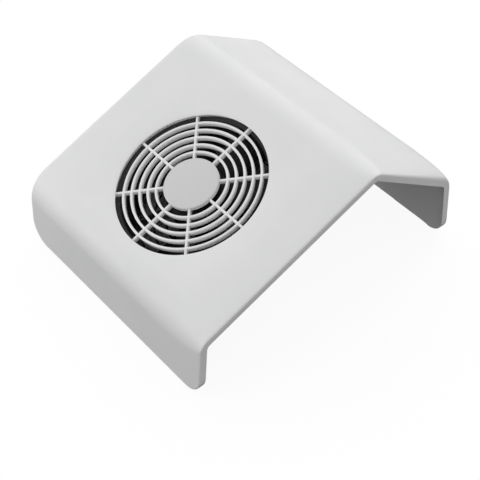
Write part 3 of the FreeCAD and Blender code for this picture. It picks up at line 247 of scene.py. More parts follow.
def woven(name, colour, shade, threads=1150):
    """Close plain weave: two crossed sets of threads, darker between them, lightly soiled."""
    n = Nodes(name)
    warp = n.wave(threads, "X", 0.6)
    weft = n.wave(threads, "Y", 0.6)
    rise = n.wave(threads, "Z", 0.6)
    weave = n.math("MULTIPLY", n.math("ADD", warp, rise), weft)
    soil = n.remap(n.noise(26, 5), 0.0, 1.0)
    base = n.mix(soil, colour, shade)
    base = n.mix(n.math("MULTIPLY", n.remap(weave, 1.0, 0.0, 0.0, 1.4), 0.35), base,
                 tuple(c * 0.72 for c in colour))
    n.link(base, n.shader.inputs["Base Color"])
    n.link(n.remap(n.noise(300, 3), 0.8, 0.95), n.shader.inputs["Roughness"])
    n.shader.inputs["Sheen Weight"].default_value = 0.25
    n.shader.inputs["Sheen Roughness"].default_value = 0.5
    slack = n.bump(n.noise(70, 4), 0.25, 0.002)
    n.link(n.bump(weave, 0.45, 0.0003, slack), n.shader.inputs["Normal"])
    return n.material


def wound_wire(name, colour):
    """Enamelled wire laid turn beside turn."""
    n = Nodes(name)
    turns = n.wave(700, "Z", 0.4)
    n.link(n.mix(turns, tuple(c * 0.45 for c in colour), colour), n.shader.inputs["Base Color"])
    n.shader.inputs["Metallic"].default_value = 0.85
    n.shader.inputs["Roughness"].default_value = 0.35
    n.link(n.bump(turns, 0.7, 0.0004), n.shader.inputs["Normal"])
    return n.material


WHITE = moulded_plastic("white_moulding", (0.70, 0.70, 0.705), (0.665, 0.668, 0.675), 0.50,
                        1.0, (0.78, 0.78, 0.78))
GRILLE_WHITE = moulded_plastic("grille_moulding", (0.74, 0.74, 0.74), (0.71, 0.71, 0.715), 0.38,
                               0.8, (0.80, 0.80, 0.80))
tint_disc(GRILLE_WHITE, (0.56, 0.56, 0.56), FAN @ Vector((0, 0, -3.4)), 24.3 * MM)
BLACK = moulded_plastic("black_moulding", (0.012, 0.012, 0.014), (0.02, 0.02, 0.022), 0.5, 1.6,
                        (0.06, 0.06, 0.062))
SLEEVE = moulded_plastic("sleeve_moulding", (0.62, 0.6, 0.55), (0.55, 0.53, 0.49), 0.5)
RUBBER = rubber("foot_rubber_matt", (0.03, 0.03, 0.03))
CABLE = rubber("cable_sheath", (0.012, 0.012, 0.012), 0.55)
FOAM = foam("sealing_foam", (0.05, 0.05, 0.05))
STEEL = metal("ground_steel", (0.60, 0.60, 0.61), (0.46, 0.46, 0.47), 0.28, "Z")
CORE = metal("laminated_steel", (0.30, 0.30, 0.31), (0.20, 0.19, 0.18), 0.45, "Z")
BRASS = metal("turned_brass", (0.72, 0.52, 0.22), (0.58, 0.40, 0.16), 0.3, "Z")
WIRE = metal("plated_wire", (0.70, 0.70, 0.71), (0.55, 0.55, 0.56), 0.2)
COPPER = wound_wire("winding", (0.70, 0.32, 0.12))
CLOTH = woven("bag_weave", (0.74, 0.74, 0.72), (0.66, 0.655, 0.63))
ELASTIC = woven("elastic_weave", (0.70, 0.70, 0.68), (0.62, 0.62, 0.60), 1700)


# ---------------------------------------------------------------- mesh helpers

def paint(piece, material):
    piece.data.materials.clear()
    piece.data.materials.append(material)


def smooth_by_angle(mesh, degrees):
    """Smooth faces, with a crease wherever two faces meet at more than the angle."""
    limit = math.radians(degrees)
    work = bmesh.new()
    work.from_mesh(mesh)
    for face in work.faces:
        face.smooth = True
    for edge in work.edges:
        edge.smooth = len(edge.link_faces) == 2 and edge.calc_face_angle(0.0) < limit
    work.to_mesh(mesh)
    work.free()


def new_mesh(name, points, faces, place):
    mesh = bpy.data.meshes.new(name)
    mesh.from_pydata([place @ Vector(p) for p in points], [], faces)
    work = bmesh.new()
    work.from_mesh(mesh)
    bmesh.ops.remove_doubles(work, verts=work.verts, dist=1e-6)
    bmesh.ops.recalc_face_normals(work, faces=work.faces)
    work.to_mesh(mesh)
    work.free()
    return mesh


def new_piece(name, mesh, material, body, stands_for=(), crease=35):
    piece = bpy.data.objects.new(name, mesh)
    bpy.context.scene.collection.objects.link(piece)
    smooth_by_angle(mesh, crease)
    paint(piece, material)
    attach(piece, body)
    if stands_for:
        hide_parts(*stands_for)
    return piece


def loose_object(name, mesh):
    thing = bpy.data.objects.new(name, mesh)
    bpy.context.scene.collection.objects.link(thing)
    return thing


def boolean(mesh, tool_mesh, operation):
    """The exact boolean of two closed meshes, as a new mesh."""
    target = loose_object("boolean_target", mesh)
    tool = loose_object("boolean_tool", tool_mesh)
    step = target.modifiers.new("cut", "BOOLEAN")
    step.operation = operation
    step.solver = "EXACT"
    step.object = tool
    bpy.context.view_layer.update()
    evaluated = target.evaluated_get(bpy.context.evaluated_depsgraph_get())
    result = bpy.data.meshes.new_from_object(evaluated)
    bpy.data.objects.remove(target)
    bpy.data.objects.remove(tool)
    return result


def revolve(outline, turns=96):
    """Points and faces of a closed outline of (radius, height) turned about the z axis."""
    points = []
    faces = []
    count = len(outline)
    for step in range(turns):
        angle = 2 * math.pi * step / turns
        for radius, height in outline:
            points.append((radius * math.cos(angle), radius * math.sin(angle), height))
    for step in range(turns):
        after = (step + 1) % turns
        for index in range(count):
            follow = (index + 1) % count
            faces.append((
                step * count + index, after * count + index,
                after * count + follow, step * count + follow,
            ))
    return points, faces


def disc(outline, turns=96):
    """A solid of revolution whose open outline starts and ends on the z axis."""
    points = [(0, 0, outline[0][1])]
    faces = []
    inner = outline[1:-1]
    count = len(inner)
    for step in range(turns):
        angle = 2 * math.pi * step / turns
        for radius, height in inner:
            points.append((radius * math.cos(angle), radius * math.sin(angle), height))
    points.append((0, 0, outline[-1][1]))
    last = len(points) - 1
    for step in range(turns):
        after = (step + 1) % turns
        faces.append((0, 1 + step * count, 1 + after * count))
        for index in range(count - 1):
            faces.append((
                1 + step * count + index, 1 + step * count + index + 1,
                1 + after * count + index + 1, 1 + after * count + index,
            ))
        faces.append((last, 1 + after * count + count - 1, 1 + step * count + count - 1))
    return points, faces


def merged(parts):
    """Several (points, faces) pairs as one."""
    points = []
    faces = []
    for more_points, more_faces in parts:
        start = len(points)
        points += more_points
        faces += [tuple(start + index for index in face) for face in more_faces]
    return points, faces


def turned(part, matrix):
    points, faces = part
    return [tuple(matrix @ Vector(p)) for p in points], faces


def prism(outline, low, high):
    """A closed solid: an outline of (x, y) from one height to another."""
    count = len(outline)
    points = [(x, y, low) for x, y in outline] + [(x, y, high) for x, y in outline]
    faces = [tuple(range(count - 1, -1, -1)), tuple(range(count, 2 * count))]
    for index in range(count):
        follow = (index + 1) % count
        faces.append((index, follow, count + follow, count + index))
    return points, faces


def rounded_outline(half_x, half_y, radius, steps=6, centre=(0.0, 0.0)):
    outline = []
    for quarter, (sx, sy) in enumerate(((1, 1), (-1, 1), (-1, -1), (1, -1))):
        cx = centre[0] + sx * (half_x - radius)
        cy = centre[1] + sy * (half_y - radius)
        for step in range(steps + 1):
            angle = math.pi / 2 * (quarter + step / steps)
            outline.append((cx + radius * math.cos(angle), cy + radius * math.sin(angle)))
    return outline


# ---------------------------------------------------------------- shell
# The wall's section changes from the front end's to the main one within the roll's length.
# Corners are (x, z) of the outer face from the low sole to the high sole; the radii, outer and
# inner, are those of the low bend, the apex and the high bend.

FRONT_SECTION = {
    "corners": ((FOOT_X, 0), (0, 56.7), (178.8, 124.5), (264.1, 63.5), (267.6, 0)),
    "radii": (7.0, 9.0, 14.0),
    "inner": (4.0, 4.0, 4.0),
}
MAIN_SECTION = {
    "corners": ((FOOT_X, 0), LOW_BEND, APEX, (271.35, 71.0), (269.0, 0)),
    "radii": (32.0, 30.0, 44.0),
    "inner": (24.0, 23.0, 37.0),
}
ROLL_LENGTH = 45.0
LIP_RADIUS = 67.4
DISH_RADIUS = 92.0
DISH_DEPTH = 2.2
DISH_POWER = 2.3
PATCH_HALF = 70.8
PATCH_CELLS = 24
ARC_STEPS = 14
CREST_STEPS = 8
FRONT_FOOT_RADIUS = 17.0
BACK_FOOT_RADIUS = 22.0
EDGE_ROUND = 1.3
INNER_ROUND = 0.8
BACK_ROUND = 5.5
SOLE_ROUND = 1.0
CORNER_REACH = 60.0

# Distances of a leg's rows from its sole, closest together where its edges are rounded.
FOOT_ROWS = (0, 0.12, 0.35, 0.7, 1.1, 1.9, 2.9, 4.5, 6.4, 8.6, 11, 13.6, 16.3, 19.1, 22)
SHIN_ROWS = 4

# Radii, and (radius, height), of the mouth's rings from the outer face inward and down.
DISH_RINGS = (70.2, 69.4, 68.4)
LIP = ((LIP_RADIUS, -0.05), (66.9, -0.25), (66.6, -0.55), (66.5, -0.95))
UNDERCUT = ((66.6, -3.5), (67.2, -3.9), (68.2, -4.7), (69.1, -5.7), (69.4, -6.5), (69.7, -WALL))

# The mouth is cut out of a square patch of the slope, whose rows lie on equal angles.
PATCH_NODES = [
    PATCH_HALF * math.tan(math.radians(-45 + 90 * k / PATCH_CELLS)) for k in range(PATCH_CELLS + 1)
]
FRONT_STEPS = (0, 0.12, 0.35, 0.75, 1.3, 2.2, 3.6, 6, 9.2, 13.2, 17.6, 22.5, 27.8, 33.4, 39.1)
BACK_STEPS = (38, 31, 25, 19, 14, 10, 7.6, 5.5, 4.3, 3.2, 2.2, 1.4, 0.75, 0.25, 0)
STATIONS = [step - HALF_DEPTH for step in FRONT_STEPS]
STATIONS += PATCH_NODES
STATIONS += [HALF_DEPTH - step for step in BACK_STEPS]
PATCH_FIRST_STATION = len(FRONT_STEPS)
LEG_ROWS = len(FOOT_ROWS) + SHIN_ROWS
PATCH_FIRST_ROW = LEG_ROWS + ARC_STEPS

# The thinned panel on the high leg and its openings: half sizes along and up, corner radius,
# steps round a corner, centre (y, z). The bosses' section is (radius, height) on a screw's axis.
SEAT = (37, 17, 3, 6, (61, 29))
RELIEF = (34, 14, 3, 6, (61, 29))
SWITCH_HOLE = (9.6, 6.6, 0.6, 3, (40, 29))
INLET_HOLE = (10.2, 5.2, 0.6, 3, (75, 29))
SCREW_HOLES = ((1.65, 1.65, 1.64, 5, (61, 29)), (1.65, 1.65, 1.64, 5, (89, 29)))
PANEL_OUTSIDE = 266.6
PANEL_INSIDE = 264.1
SCREW_PLACE = 56.65
BOSS_SECTION = ((2.05, -8.8), (4.7, -8.8), (5, -8.5), (5, -6.3), (2.05, -6.3))


def section_at(y):
    """Corners, radii and inner radii of the bent wall at one place along the arch."""
    left = 1 - min((y + HALF_DEPTH) / ROLL_LENGTH, 1.0)
    share = math.sqrt(max(0.0, 1 - left * left))

    def pairs(key):
        return zip(FRONT_SECTION[key], MAIN_SECTION[key])

    corners = [Vector(first).lerp(Vector(last), share) for first, last in pairs("corners")]
    radii = [a + (b - a) * share for a, b in pairs("radii")]
    inner = [a + (b - a) * share for a, b in pairs("inner")]
    return corners, radii, inner


def inset_corners(corners, distance):
    """The corners of the line that runs inside this one at a distance."""
    normals = []
    for first, last in zip(corners, corners[1:]):
        run = (last - first).normalized()
        normals.append(Vector((run.y, -run.x)))
    first_run = (corners[1] - corners[0]).normalized()
    last_run = (corners[-1] - corners[-2]).normalized()
    inner = [corners[0] + Vector((distance / abs(first_run.y), 0))]
    for corner, before, after in zip(corners[1:], normals, normals[1:]):
        middle = (before + after).normalized()
        inner.append(corner + middle * (distance / middle.dot(before)))
    inner.append(corners[-1] - Vector((distance / abs(last_run.y), 0)))
    return inner


def bend_at(before, corner, after, radius):
    """First tangent point, last tangent point and centre of a rounded corner."""
    back = (before - corner).normalized()
    ahead = (after - corner).normalized()
    half = back.angle(ahead) / 2
    run = radius / math.tan(half)
    middle = (back + ahead).normalized()
    return corner + back * run, corner + ahead * run, corner + middle * (radius / math.sin(half))


def slope_shares(start, end):
    """Shares along the slope's straight run at which the rows of the grille's patch lie."""
    along = Vector((math.cos(SLOPE), math.sin(SLOPE)))
    centre = Vector((FAN_X, FAN_Z))
    low = (start - centre).dot(along)
    high = (end - centre).dot(along)
    spare = high - PATCH_HALF
    nodes = [low] + PATCH_NODES + [high - spare * 0.6, high - spare * 0.25, high]
    return [(node - low) / (high - low) for node in nodes]


def rows_of(corners, radii, shares):
    """Points along one side of the wall from the low sole to the high sole."""
    bends = [bend_at(*corners[i:i + 3], radii[i]) for i in range(3)]
    rows = []

    def leg(sole, top):
        length = (top - sole).length
        ankle = FOOT_ROWS[-1]
        shin = [ankle + (length - ankle) * k / SHIN_ROWS for k in range(1, SHIN_ROWS + 1)]
        return [sole.lerp(top, distance / length) for distance in (*FOOT_ROWS, *shin)]

    def arc(first, last, centre):
        start = first - centre
        turn = start.angle_signed(last - centre)
        spins = [Matrix.Rotation(-turn * k / ARC_STEPS, 2) for k in range(1, ARC_STEPS)]
        return [centre + spin @ start for spin in spins]

    rows += leg(corners[0], bends[0][0])
    rows += arc(*bends[0])
    rows += [bends[0][1].lerp(bends[1][0], share) for share in shares]
    rows += arc(*bends[1])
    rows += [bends[1][1].lerp(bends[2][0], k / CREST_STEPS) for k in range(CREST_STEPS + 1)]
    rows += arc(*bends[2])
    rows += leg(corners[-1], bends[2][1])[::-1]
    return rows


def sole_distance(row, total, rows):
    """Distance along the leg from its sole, or None off the legs."""
    if row < LEG_ROWS:
        return (rows[row] - rows[0]).length
    if row >= total - LEG_ROWS:
        return (rows[row] - rows[-1]).length
    return None


def corner_shift(away, height, radius):
    """How far a point of a leg moves in from an open end so that the end follows the corner."""
    if height is None or height >= radius or away >= CORNER_REACH:
        return 0.0
    limit = radius - math.sqrt(max(0.0, radius ** 2 - (radius - height) ** 2))
    return limit * (1 - away / CORNER_REACH) ** 2


def end_distance(away, height, radius):
    """Distance of a point of the wall from an open end with a rounded lower corner."""
    if height is None or height >= radius or away >= radius:
        return away
    return radius - math.hypot(radius - away, radius - height)


def inset(distance, radius):
    """Depth of a rounded edge at a distance from it."""
    if distance >= radius:
        return 0.0
    left = radius - max(distance, 0.0)
    return radius - math.sqrt(max(0.0, radius * radius - left * left))


def end_inset(away, height, corner, round_radius):
    """Depth of the rounded edge of an open end, which thins to the sole's own at its foot."""
    if height is not None and height < corner and away < corner:
        turn = math.atan2(corner - height, corner - away) / math.radians(90)
        round_radius += (SOLE_ROUND - round_radius) * turn
    return inset(end_distance(away, height, corner), round_radius)


def dish(radius):
    """Height of the shallow hollow round the mouth at a radius from its centre."""
    reach = max(0.0, DISH_RADIUS - radius) / (DISH_RADIUS - LIP_RADIUS)
    return -DISH_DEPTH * reach ** DISH_POWER


def shell_grid():
    """Outer and inner points of the wall, by row and station."""
    to_fan = FAN.inverted() @ PROFILE
    outward = Vector((-math.sin(SLOPE), 0, math.cos(SLOPE)))
    outer_main = [Vector(c) for c in MAIN_SECTION["corners"]]
    inner_main = inset_corners(outer_main, WALL)
    shares = []
    for line, radii in ((outer_main, MAIN_SECTION["radii"]), (inner_main, MAIN_SECTION["inner"])):
        start = bend_at(*line[0:3], radii[0])[1]
        end = bend_at(*line[1:4], radii[1])[0]
        shares.append(slope_shares(start, end))

    columns = []
    for y in STATIONS:
        corners, radii, inner_radii = section_at(y)
        outer = rows_of(corners, radii, shares[0])
        inner = rows_of(inset_corners(corners, WALL), inner_radii, shares[1])
        column = []
        total = len(outer)
        for row in range(total):
            height = sole_distance(row, total, outer)
            front = y + HALF_DEPTH
            back = HALF_DEPTH - y
            moved = y + corner_shift(front, height, FRONT_FOOT_RADIUS)
            moved -= corner_shift(back, height, BACK_FOOT_RADIUS)
            to_front = end_distance(moved + HALF_DEPTH, height, FRONT_FOOT_RADIUS)
            to_back = end_distance(HALF_DEPTH - moved, height, BACK_FOOT_RADIUS)
            to_sole = math.inf if height is None else height
            deep = max(end_inset(moved + HALF_DEPTH, height, FRONT_FOOT_RADIUS, EDGE_ROUND),
                       end_inset(HALF_DEPTH - moved, height, BACK_FOOT_RADIUS, BACK_ROUND),
                       inset(to_sole, SOLE_ROUND))
            shallow = inset(min(to_front, to_back, to_sole), INNER_ROUND)
            across = inner[row] - outer[row]
            place = outer[row] + across * (deep / WALL)
            under = inner[row] - across * (shallow / WALL)
            outside = Vector((place.x, moved, place.y))
            spot = to_fan @ outside
            if spot.z > -WALL:
                outside += outward * dish(math.hypot(spot.x, spot.y))
            column.append((outside, Vector((under.x, moved, under.y))))
        columns.append(column)
    return columns


def make_shell():
    """The bent wall with its mouth, its thinned panel and the four bosses of the fan screws."""
    columns = shell_grid()
    stations = len(columns)
    rows = len(columns[0])
    points = []
    number = {}
    last_row = PATCH_FIRST_ROW + PATCH_CELLS
    last_station = PATCH_FIRST_STATION + PATCH_CELLS

    def inside_patch(row, station):
        return PATCH_FIRST_ROW < row < last_row and PATCH_FIRST_STATION < station < last_station

    for side in (0, 1):
        for row in range(rows):
            for station in range(stations):
                if inside_patch(row, station):
                    continue
                number[side, row, station] = len(points)
                points.append(columns[station][row][side])
    faces = []
    for side in (0, 1):
        for row in range(rows - 1):
            for station in range(stations - 1):
                in_rows = PATCH_FIRST_ROW <= row < last_row
                in_stations = PATCH_FIRST_STATION <= station < last_station
                if in_rows and in_stations:
                    continue
                faces.append((
                    number[side, row, station], number[side, row + 1, station],
                    number[side, row + 1, station + 1], number[side, row, station + 1],
                ))
    for row in range(rows - 1):
        for station in (0, stations - 1):
            faces.append((
                number[0, row, station], number[0, row + 1, station],
                number[1, row + 1, station], number[1, row, station],
            ))
    for station in range(stations - 1):
        for row in (0, rows - 1):
            faces.append((
                number[0, row, station], number[0, row, station + 1],
                number[1, row, station + 1], number[1, row, station],
            ))

    # The square patch's border, anticlockwise from its corner at -45 degrees.
    a, b = PATCH_FIRST_ROW, last_row
    c, d = PATCH_FIRST_STATION, last_station
    border = [(b, c + k) for k in range(PATCH_CELLS)]
    border += [(b - k, d) for k in range(PATCH_CELLS)]
    border += [(a, d - k) for k in range(PATCH_CELLS)]
    border += [(a + k, c) for k in range(PATCH_CELLS)]
    to_profile = PROFILE.inverted() @ FAN

    def ring_at(radius, height):
        start = len(points)
        for k in range(len(border)):
            angle = math.radians(-45 + 90 * k / PATCH_CELLS)
            place = Vector((radius * math.cos(angle), radius * math.sin(angle), height))
            points.append(tuple(to_profile @ place))
        return [start + k for k in range(len(border))]

    def ring_between(outer, inner, share):
        start = len(points)
        for first, last in zip(outer, inner):
            points.append(tuple(Vector(points[first]).lerp(Vector(points[last]), share)))
        return [start + k for k in range(len(border))]

    loops = [[number[0, row, station] for row, station in border]]
    for radius in DISH_RINGS:
        loops.append(ring_at(radius, dish(radius)))
    for radius, height in LIP:
        loops.append(ring_at(radius, height - DISH_DEPTH))
    for radius, height in UNDERCUT:
        loops.append(ring_at(radius, height))
    under = [number[1, row, station] for row, station in border]
    loops.append(ring_between(loops[-1], under, 0.5))
    loops.append(under)
    for inner, outer in zip(loops, loops[1:]):
        for k in range(len(border)):
            follow = (k + 1) % len(border)
            faces.append((inner[k], inner[follow], outer[follow], outer[k]))

    mesh = new_mesh("shell_wall", points, faces, PROFILE)

    def cutter(opening, low_x, high_x):
        """A block of an opening's outline between two places across the arch."""
        lie_down = Matrix(((0, 0, 1, 0), (1, 0, 0, 0), (0, 1, 0, 0), (0, 0, 0, 1)))
        return turned(prism(rounded_outline(*opening), low_x, high_x), lie_down)

    seat = cutter(SEAT, PANEL_OUTSIDE, 285)
    relief = cutter(RELIEF, 245, PANEL_INSIDE)
    holes = merged([cutter(hole, 255, 275) for hole in (SWITCH_HOLE, INLET_HOLE, *SCREW_HOLES)])
    for tool in (seat, relief, holes):
        mesh = boolean(mesh, new_mesh("cutter", *tool, PROFILE), "DIFFERENCE")

    bosses = []
    for x in (-SCREW_PLACE, SCREW_PLACE):
        for y in (-SCREW_PLACE, SCREW_PLACE):
            bosses.append(turned(revolve(BOSS_SECTION, 32), Matrix.Translation((x, y, 0))))
    boss_mesh = new_mesh("bosses", *merged(bosses), FAN)
    mesh = boolean(mesh, boss_mesh, "UNION")
    piece = new_piece("shell", mesh, WHITE, "body", ("top_shell",), 30)
    even = piece.modifiers.new("even_normals", "WEIGHTED_NORMAL")
    even.keep_sharp = True
    return piece


# ---------------------------------------------------------------- grille and seal

HUB_SECTION = ((0, -2.8), (23.0, -2.8), (23.6, -2.9), (24.0, -3.2), (24.2, -3.7), (24.2, -6.6),
               (23.8, -7.0), (0, -7.0))
FLANGE_SECTION = ((69.0, -8.8), (71.5, -8.8), (71.5, -6.85), (69.3, -6.85), (69.0, -7.1))
BAR_TOP = -4.0
BAR_BOTTOM = -8.8
BAR_HALF = 1.12
RINGS = [31.0 + 7.26 * k for k in range(5)]
SPOKES = 8
SPOKE_ENDS = (21.5, 69.4)
FAN_HALF = 67.5
FAN_CORNER = 8.0
FAN_TOP = -10.3
SEAL_RADIUS = 71.2
SEAL_BORE = 64.5
SEAL_HOLE = 2.2


def bar_section():
    """Outline of a bar with a rounded top: sideways offset and height."""
    side = [(0.95, BAR_BOTTOM), (1.05, BAR_BOTTOM + 1), (BAR_HALF, BAR_TOP - 1.1),
            (1.04, BAR_TOP - 0.66), (0.84, BAR_TOP - 0.31), (0.55, BAR_TOP - 0.1), (0.2, BAR_TOP)]
    mirrored = [(-x, z) for x, z in side]
    return mirrored[:1] + side + mirrored[:0:-1]


def make_grille():
    """Hub, five rings and eight spokes in one moulding, with its flange under the wall."""
    section = bar_section()
    parts = [revolve([(radius + x, z) for x, z in section]) for radius in RINGS]
    parts += [disc(HUB_SECTION), revolve(FLANGE_SECTION)]
    base = new_mesh("grille_rings", *merged(parts), FAN)
    # The spokes are a little narrower and lower than the rings, so that no faces coincide.
    spokes = []
    for k in range(SPOKES):
        bar = []
        for reach in SPOKE_ENDS:
            bar += [(reach, x * 0.98, z - 0.03) for x, z in section]
        count = len(section)
        faces = [tuple(range(count)), tuple(range(2 * count - 1, count - 1, -1))]
        for index in range(count):
            follow = (index + 1) % count
            faces.append((index, follow, count + follow, count + index))
        spokes.append(turned((bar, faces), Matrix.Rotation(2 * math.pi * k / SPOKES, 4, "Z")))
    spoke_mesh = new_mesh("grille_spokes", *merged(spokes), FAN)
    mesh = boolean(base, spoke_mesh, "UNION")
    return new_piece("grille", mesh, GRILLE_WHITE, "body", ("fan_guard",), 32)


def circle(radius, centre=(0.0, 0.0), count=180):
    """Points round a circle."""
    angles = [2 * math.pi * k / count for k in range(count)]
    return [(centre[0] + radius * math.cos(a), centre[1] + radius * math.sin(a)) for a in angles]


def make_gasket():
    """Foam frame on the fan's flange, bulged at its sides to lie under the grille's flange."""
    outline = rounded_outline(FAN_HALF, FAN_HALF, FAN_CORNER)
    outline += [spot for spot in circle(SEAL_RADIUS, count=360) if max(map(abs, spot)) > FAN_HALF]
    outline.sort(key=lambda spot: math.atan2(spot[1], spot[0]))
    frame = new_mesh("gasket_frame", *prism(outline, FAN_TOP, BAR_BOTTOM), FAN)
    tools = [prism(circle(SEAL_BORE), FAN_TOP - 1, BAR_BOTTOM + 1)]
    for x in (-SCREW_PLACE, SCREW_PLACE):
        for y in (-SCREW_PLACE, SCREW_PLACE):
            tools.append(prism(circle(SEAL_HOLE, (x, y), 24), FAN_TOP - 1, BAR_BOTTOM + 1))
    mesh = boolean(frame, new_mesh("cutter", *merged(tools), FAN), "DIFFERENCE")
    return new_piece("gasket", mesh, FOAM, "body", ("foam_gasket",), 30)


# ---------------------------------------------------------------- impeller

WHEEL_SECTION = ((0, -15.4), (20, -15.5), (25, -15.9), (26.6, -16.9), (27.2, -18.6),
                 (27.2, -41.6), (24.7, -41.8), (24.7, -18.4), (0, -18.2))
BLADES = 7
BLADE_ROOT = 26.4
BLADE_TIP = 62.4
BLADE_MIDDLE = -29.6
BLADE_RINGS = 10
BLADE_STEPS = 12
BLADE_CAMBER = 3.0
TAIL_START = 0.87


def blade_outline(chord):
    """Points (along, rise) round a blade's section, thickest behind its leading edge."""
    over = []
    under = []
    for j in range(BLADE_STEPS + 1):
        share = j / BLADE_STEPS
        along = (share - 0.5) * chord
        camber = BLADE_CAMBER * (1 - (2 * share - 1) ** 2)
        if share < TAIL_START:
            thick = 0.35 + 0.75 * math.sqrt(math.sin(share * 1.15 * math.pi))
        else:
            thick = 0.35 + 0.4 * (1 - share) / (1 - TAIL_START)
        over.append((along, camber + thick))
        under.append((along, camber - thick))
    return over + under[::-1]


def blade():
    """One blade, whose pitch flattens and chord widens from its root to its swept tip."""
    points = []
    for i in range(BLADE_RINGS + 1):
        share = i / BLADE_RINGS
        radius = BLADE_ROOT + (BLADE_TIP - BLADE_ROOT) * i / BLADE_RINGS
        pitch = math.radians(40 - 13 * share)
        sweep = math.radians(7 * share * share)
        for along, rise in blade_outline(30 + 6 * share):
            tangent = along * math.cos(pitch) - rise * math.sin(pitch)
            height = along * math.sin(pitch) + rise * math.cos(pitch)
            angle = tangent / radius + sweep
            points.append((radius * math.cos(angle), radius * math.sin(angle),
                           BLADE_MIDDLE + height))
    count = 2 * (BLADE_STEPS + 1)
    last = BLADE_RINGS * count
    faces = [tuple(range(count)), tuple(range(last + count - 1, last - 1, -1))]
    for i in range(BLADE_RINGS):
        for j in range(count):
            follow = (j + 1) % count
            faces.append((i * count + j, i * count + follow,
                          (i + 1) * count + follow, (i + 1) * count + j))
    return points, faces


def make_impeller():
    """Cup-shaped hub with seven cambered, twisted blades."""
    blades = []
    for k in range(BLADES):
        blades.append(turned(blade(), Matrix.Rotation(2 * math.pi * k / BLADES, 4, "Z")))
    blade_mesh = new_mesh("blades", *merged(blades), FAN)
    hub_mesh = new_mesh("wheel_hub", *disc(WHEEL_SECTION), FAN)
    mesh = boolean(hub_mesh, blade_mesh, "UNION")
    return new_piece("impeller_wheel", mesh, BLACK, "rotor", ("impeller",), 40)


# ---------------------------------------------------------------- dust bag

# Heights on the fan's axis are in the fan frame and the floor's place is in the profile frame.
BAG_TOP_Z = -41.0
BAG_COLLAR = 9.0
BAG_HALF = 69.3
BAG_CORNER = 9.8
BAG_FLOOR = (64, 50, 22)
BAG_FLOOR_X = 126.0
BAG_FLOOR_Z = 11.6
BAG_POINTS = 256
BAG_RINGS = 46
FLOOR_RINGS = 16
COLLAR_SHARE = 0.18
GATHERS = 64
GATHER_SHARE = 0.15
SETTLING_STEPS = 22
MOST_MOVED = 7.0
ELASTIC_SECTION = ((-0.5, -4.7), (0.35, -4.9), (0.75, -4.2), (0.85, -2.5), (0.75, -0.8),
                   (0.35, -0.1), (-0.5, -0.3))
ELASTIC_OUT = 0.7
ELASTIC_POINTS = 640
ELASTIC_RIBS = 160


def even_outline(half_x, half_y, radius, count):
    """Evenly spaced points round a rounded rectangle, from the middle of its +x side."""
    straight_x = 2 * (half_x - radius)
    straight_y = 2 * (half_y - radius)
    quarter = math.pi * radius / 2
    total = 2 * straight_x + 2 * straight_y + 4 * quarter
    pieces = (
        ("line", straight_y, (half_x, -half_y + radius), (0, 1)),
        ("arc", quarter, (half_x - radius, half_y - radius), 0.0),
        ("line", straight_x, (half_x - radius, half_y), (-1, 0)),
        ("arc", quarter, (-half_x + radius, half_y - radius), 0.5 * math.pi),
        ("line", straight_y, (-half_x, half_y - radius), (0, -1)),
        ("arc", quarter, (-half_x + radius, -half_y + radius), math.pi),
        ("line", straight_x, (-half_x + radius, -half_y), (1, 0)),
        ("arc", quarter, (half_x - radius, -half_y + radius), 1.5 * math.pi),
    )
    found = []
    for k in range(count):
        run = (total * k / count + straight_y / 2) % total
        for kind, length, start, extra in pieces:
            if run > length + 1e-9:
                run -= length
                continue
            if kind == "line":
                found.append((start[0] + extra[0] * run, start[1] + extra[1] * run))
            else:
                angle = extra + run / radius
                found.append((start[0] + radius * math.cos(angle),
                              start[1] + radius * math.sin(angle)))
            break
    return found


def bag_rings():
    """Rings of points of the bag in the profile frame, from its mouth to its floor."""
    to_profile = PROFILE.inverted() @ FAN
    mouth = even_outline(BAG_HALF, BAG_HALF, BAG_CORNER, BAG_POINTS)
    floor = even_outline(*BAG_FLOOR, BAG_POINTS)
    rings = []
    for i in range(BAG_RINGS + 1):
        t = i / BAG_RINGS
        ring = []
        for k in range(BAG_POINTS):
            x, y = mouth[k]
            top = to_profile @ Vector((x, y, BAG_TOP_Z))
            collar = to_profile @ Vector((x, y, BAG_TOP_Z - BAG_COLLAR))
            bottom = Vector((BAG_FLOOR_X + floor[k][0], floor[k][1], BAG_FLOOR_Z))
            if t < COLLAR_SHARE:
                ring.append(top.lerp(collar, t / COLLAR_SHARE))
            else:
                ring.append(collar.lerp(bottom, (t - COLLAR_SHARE) / (1 - COLLAR_SHARE)))
        rings.append(ring)
    return rings


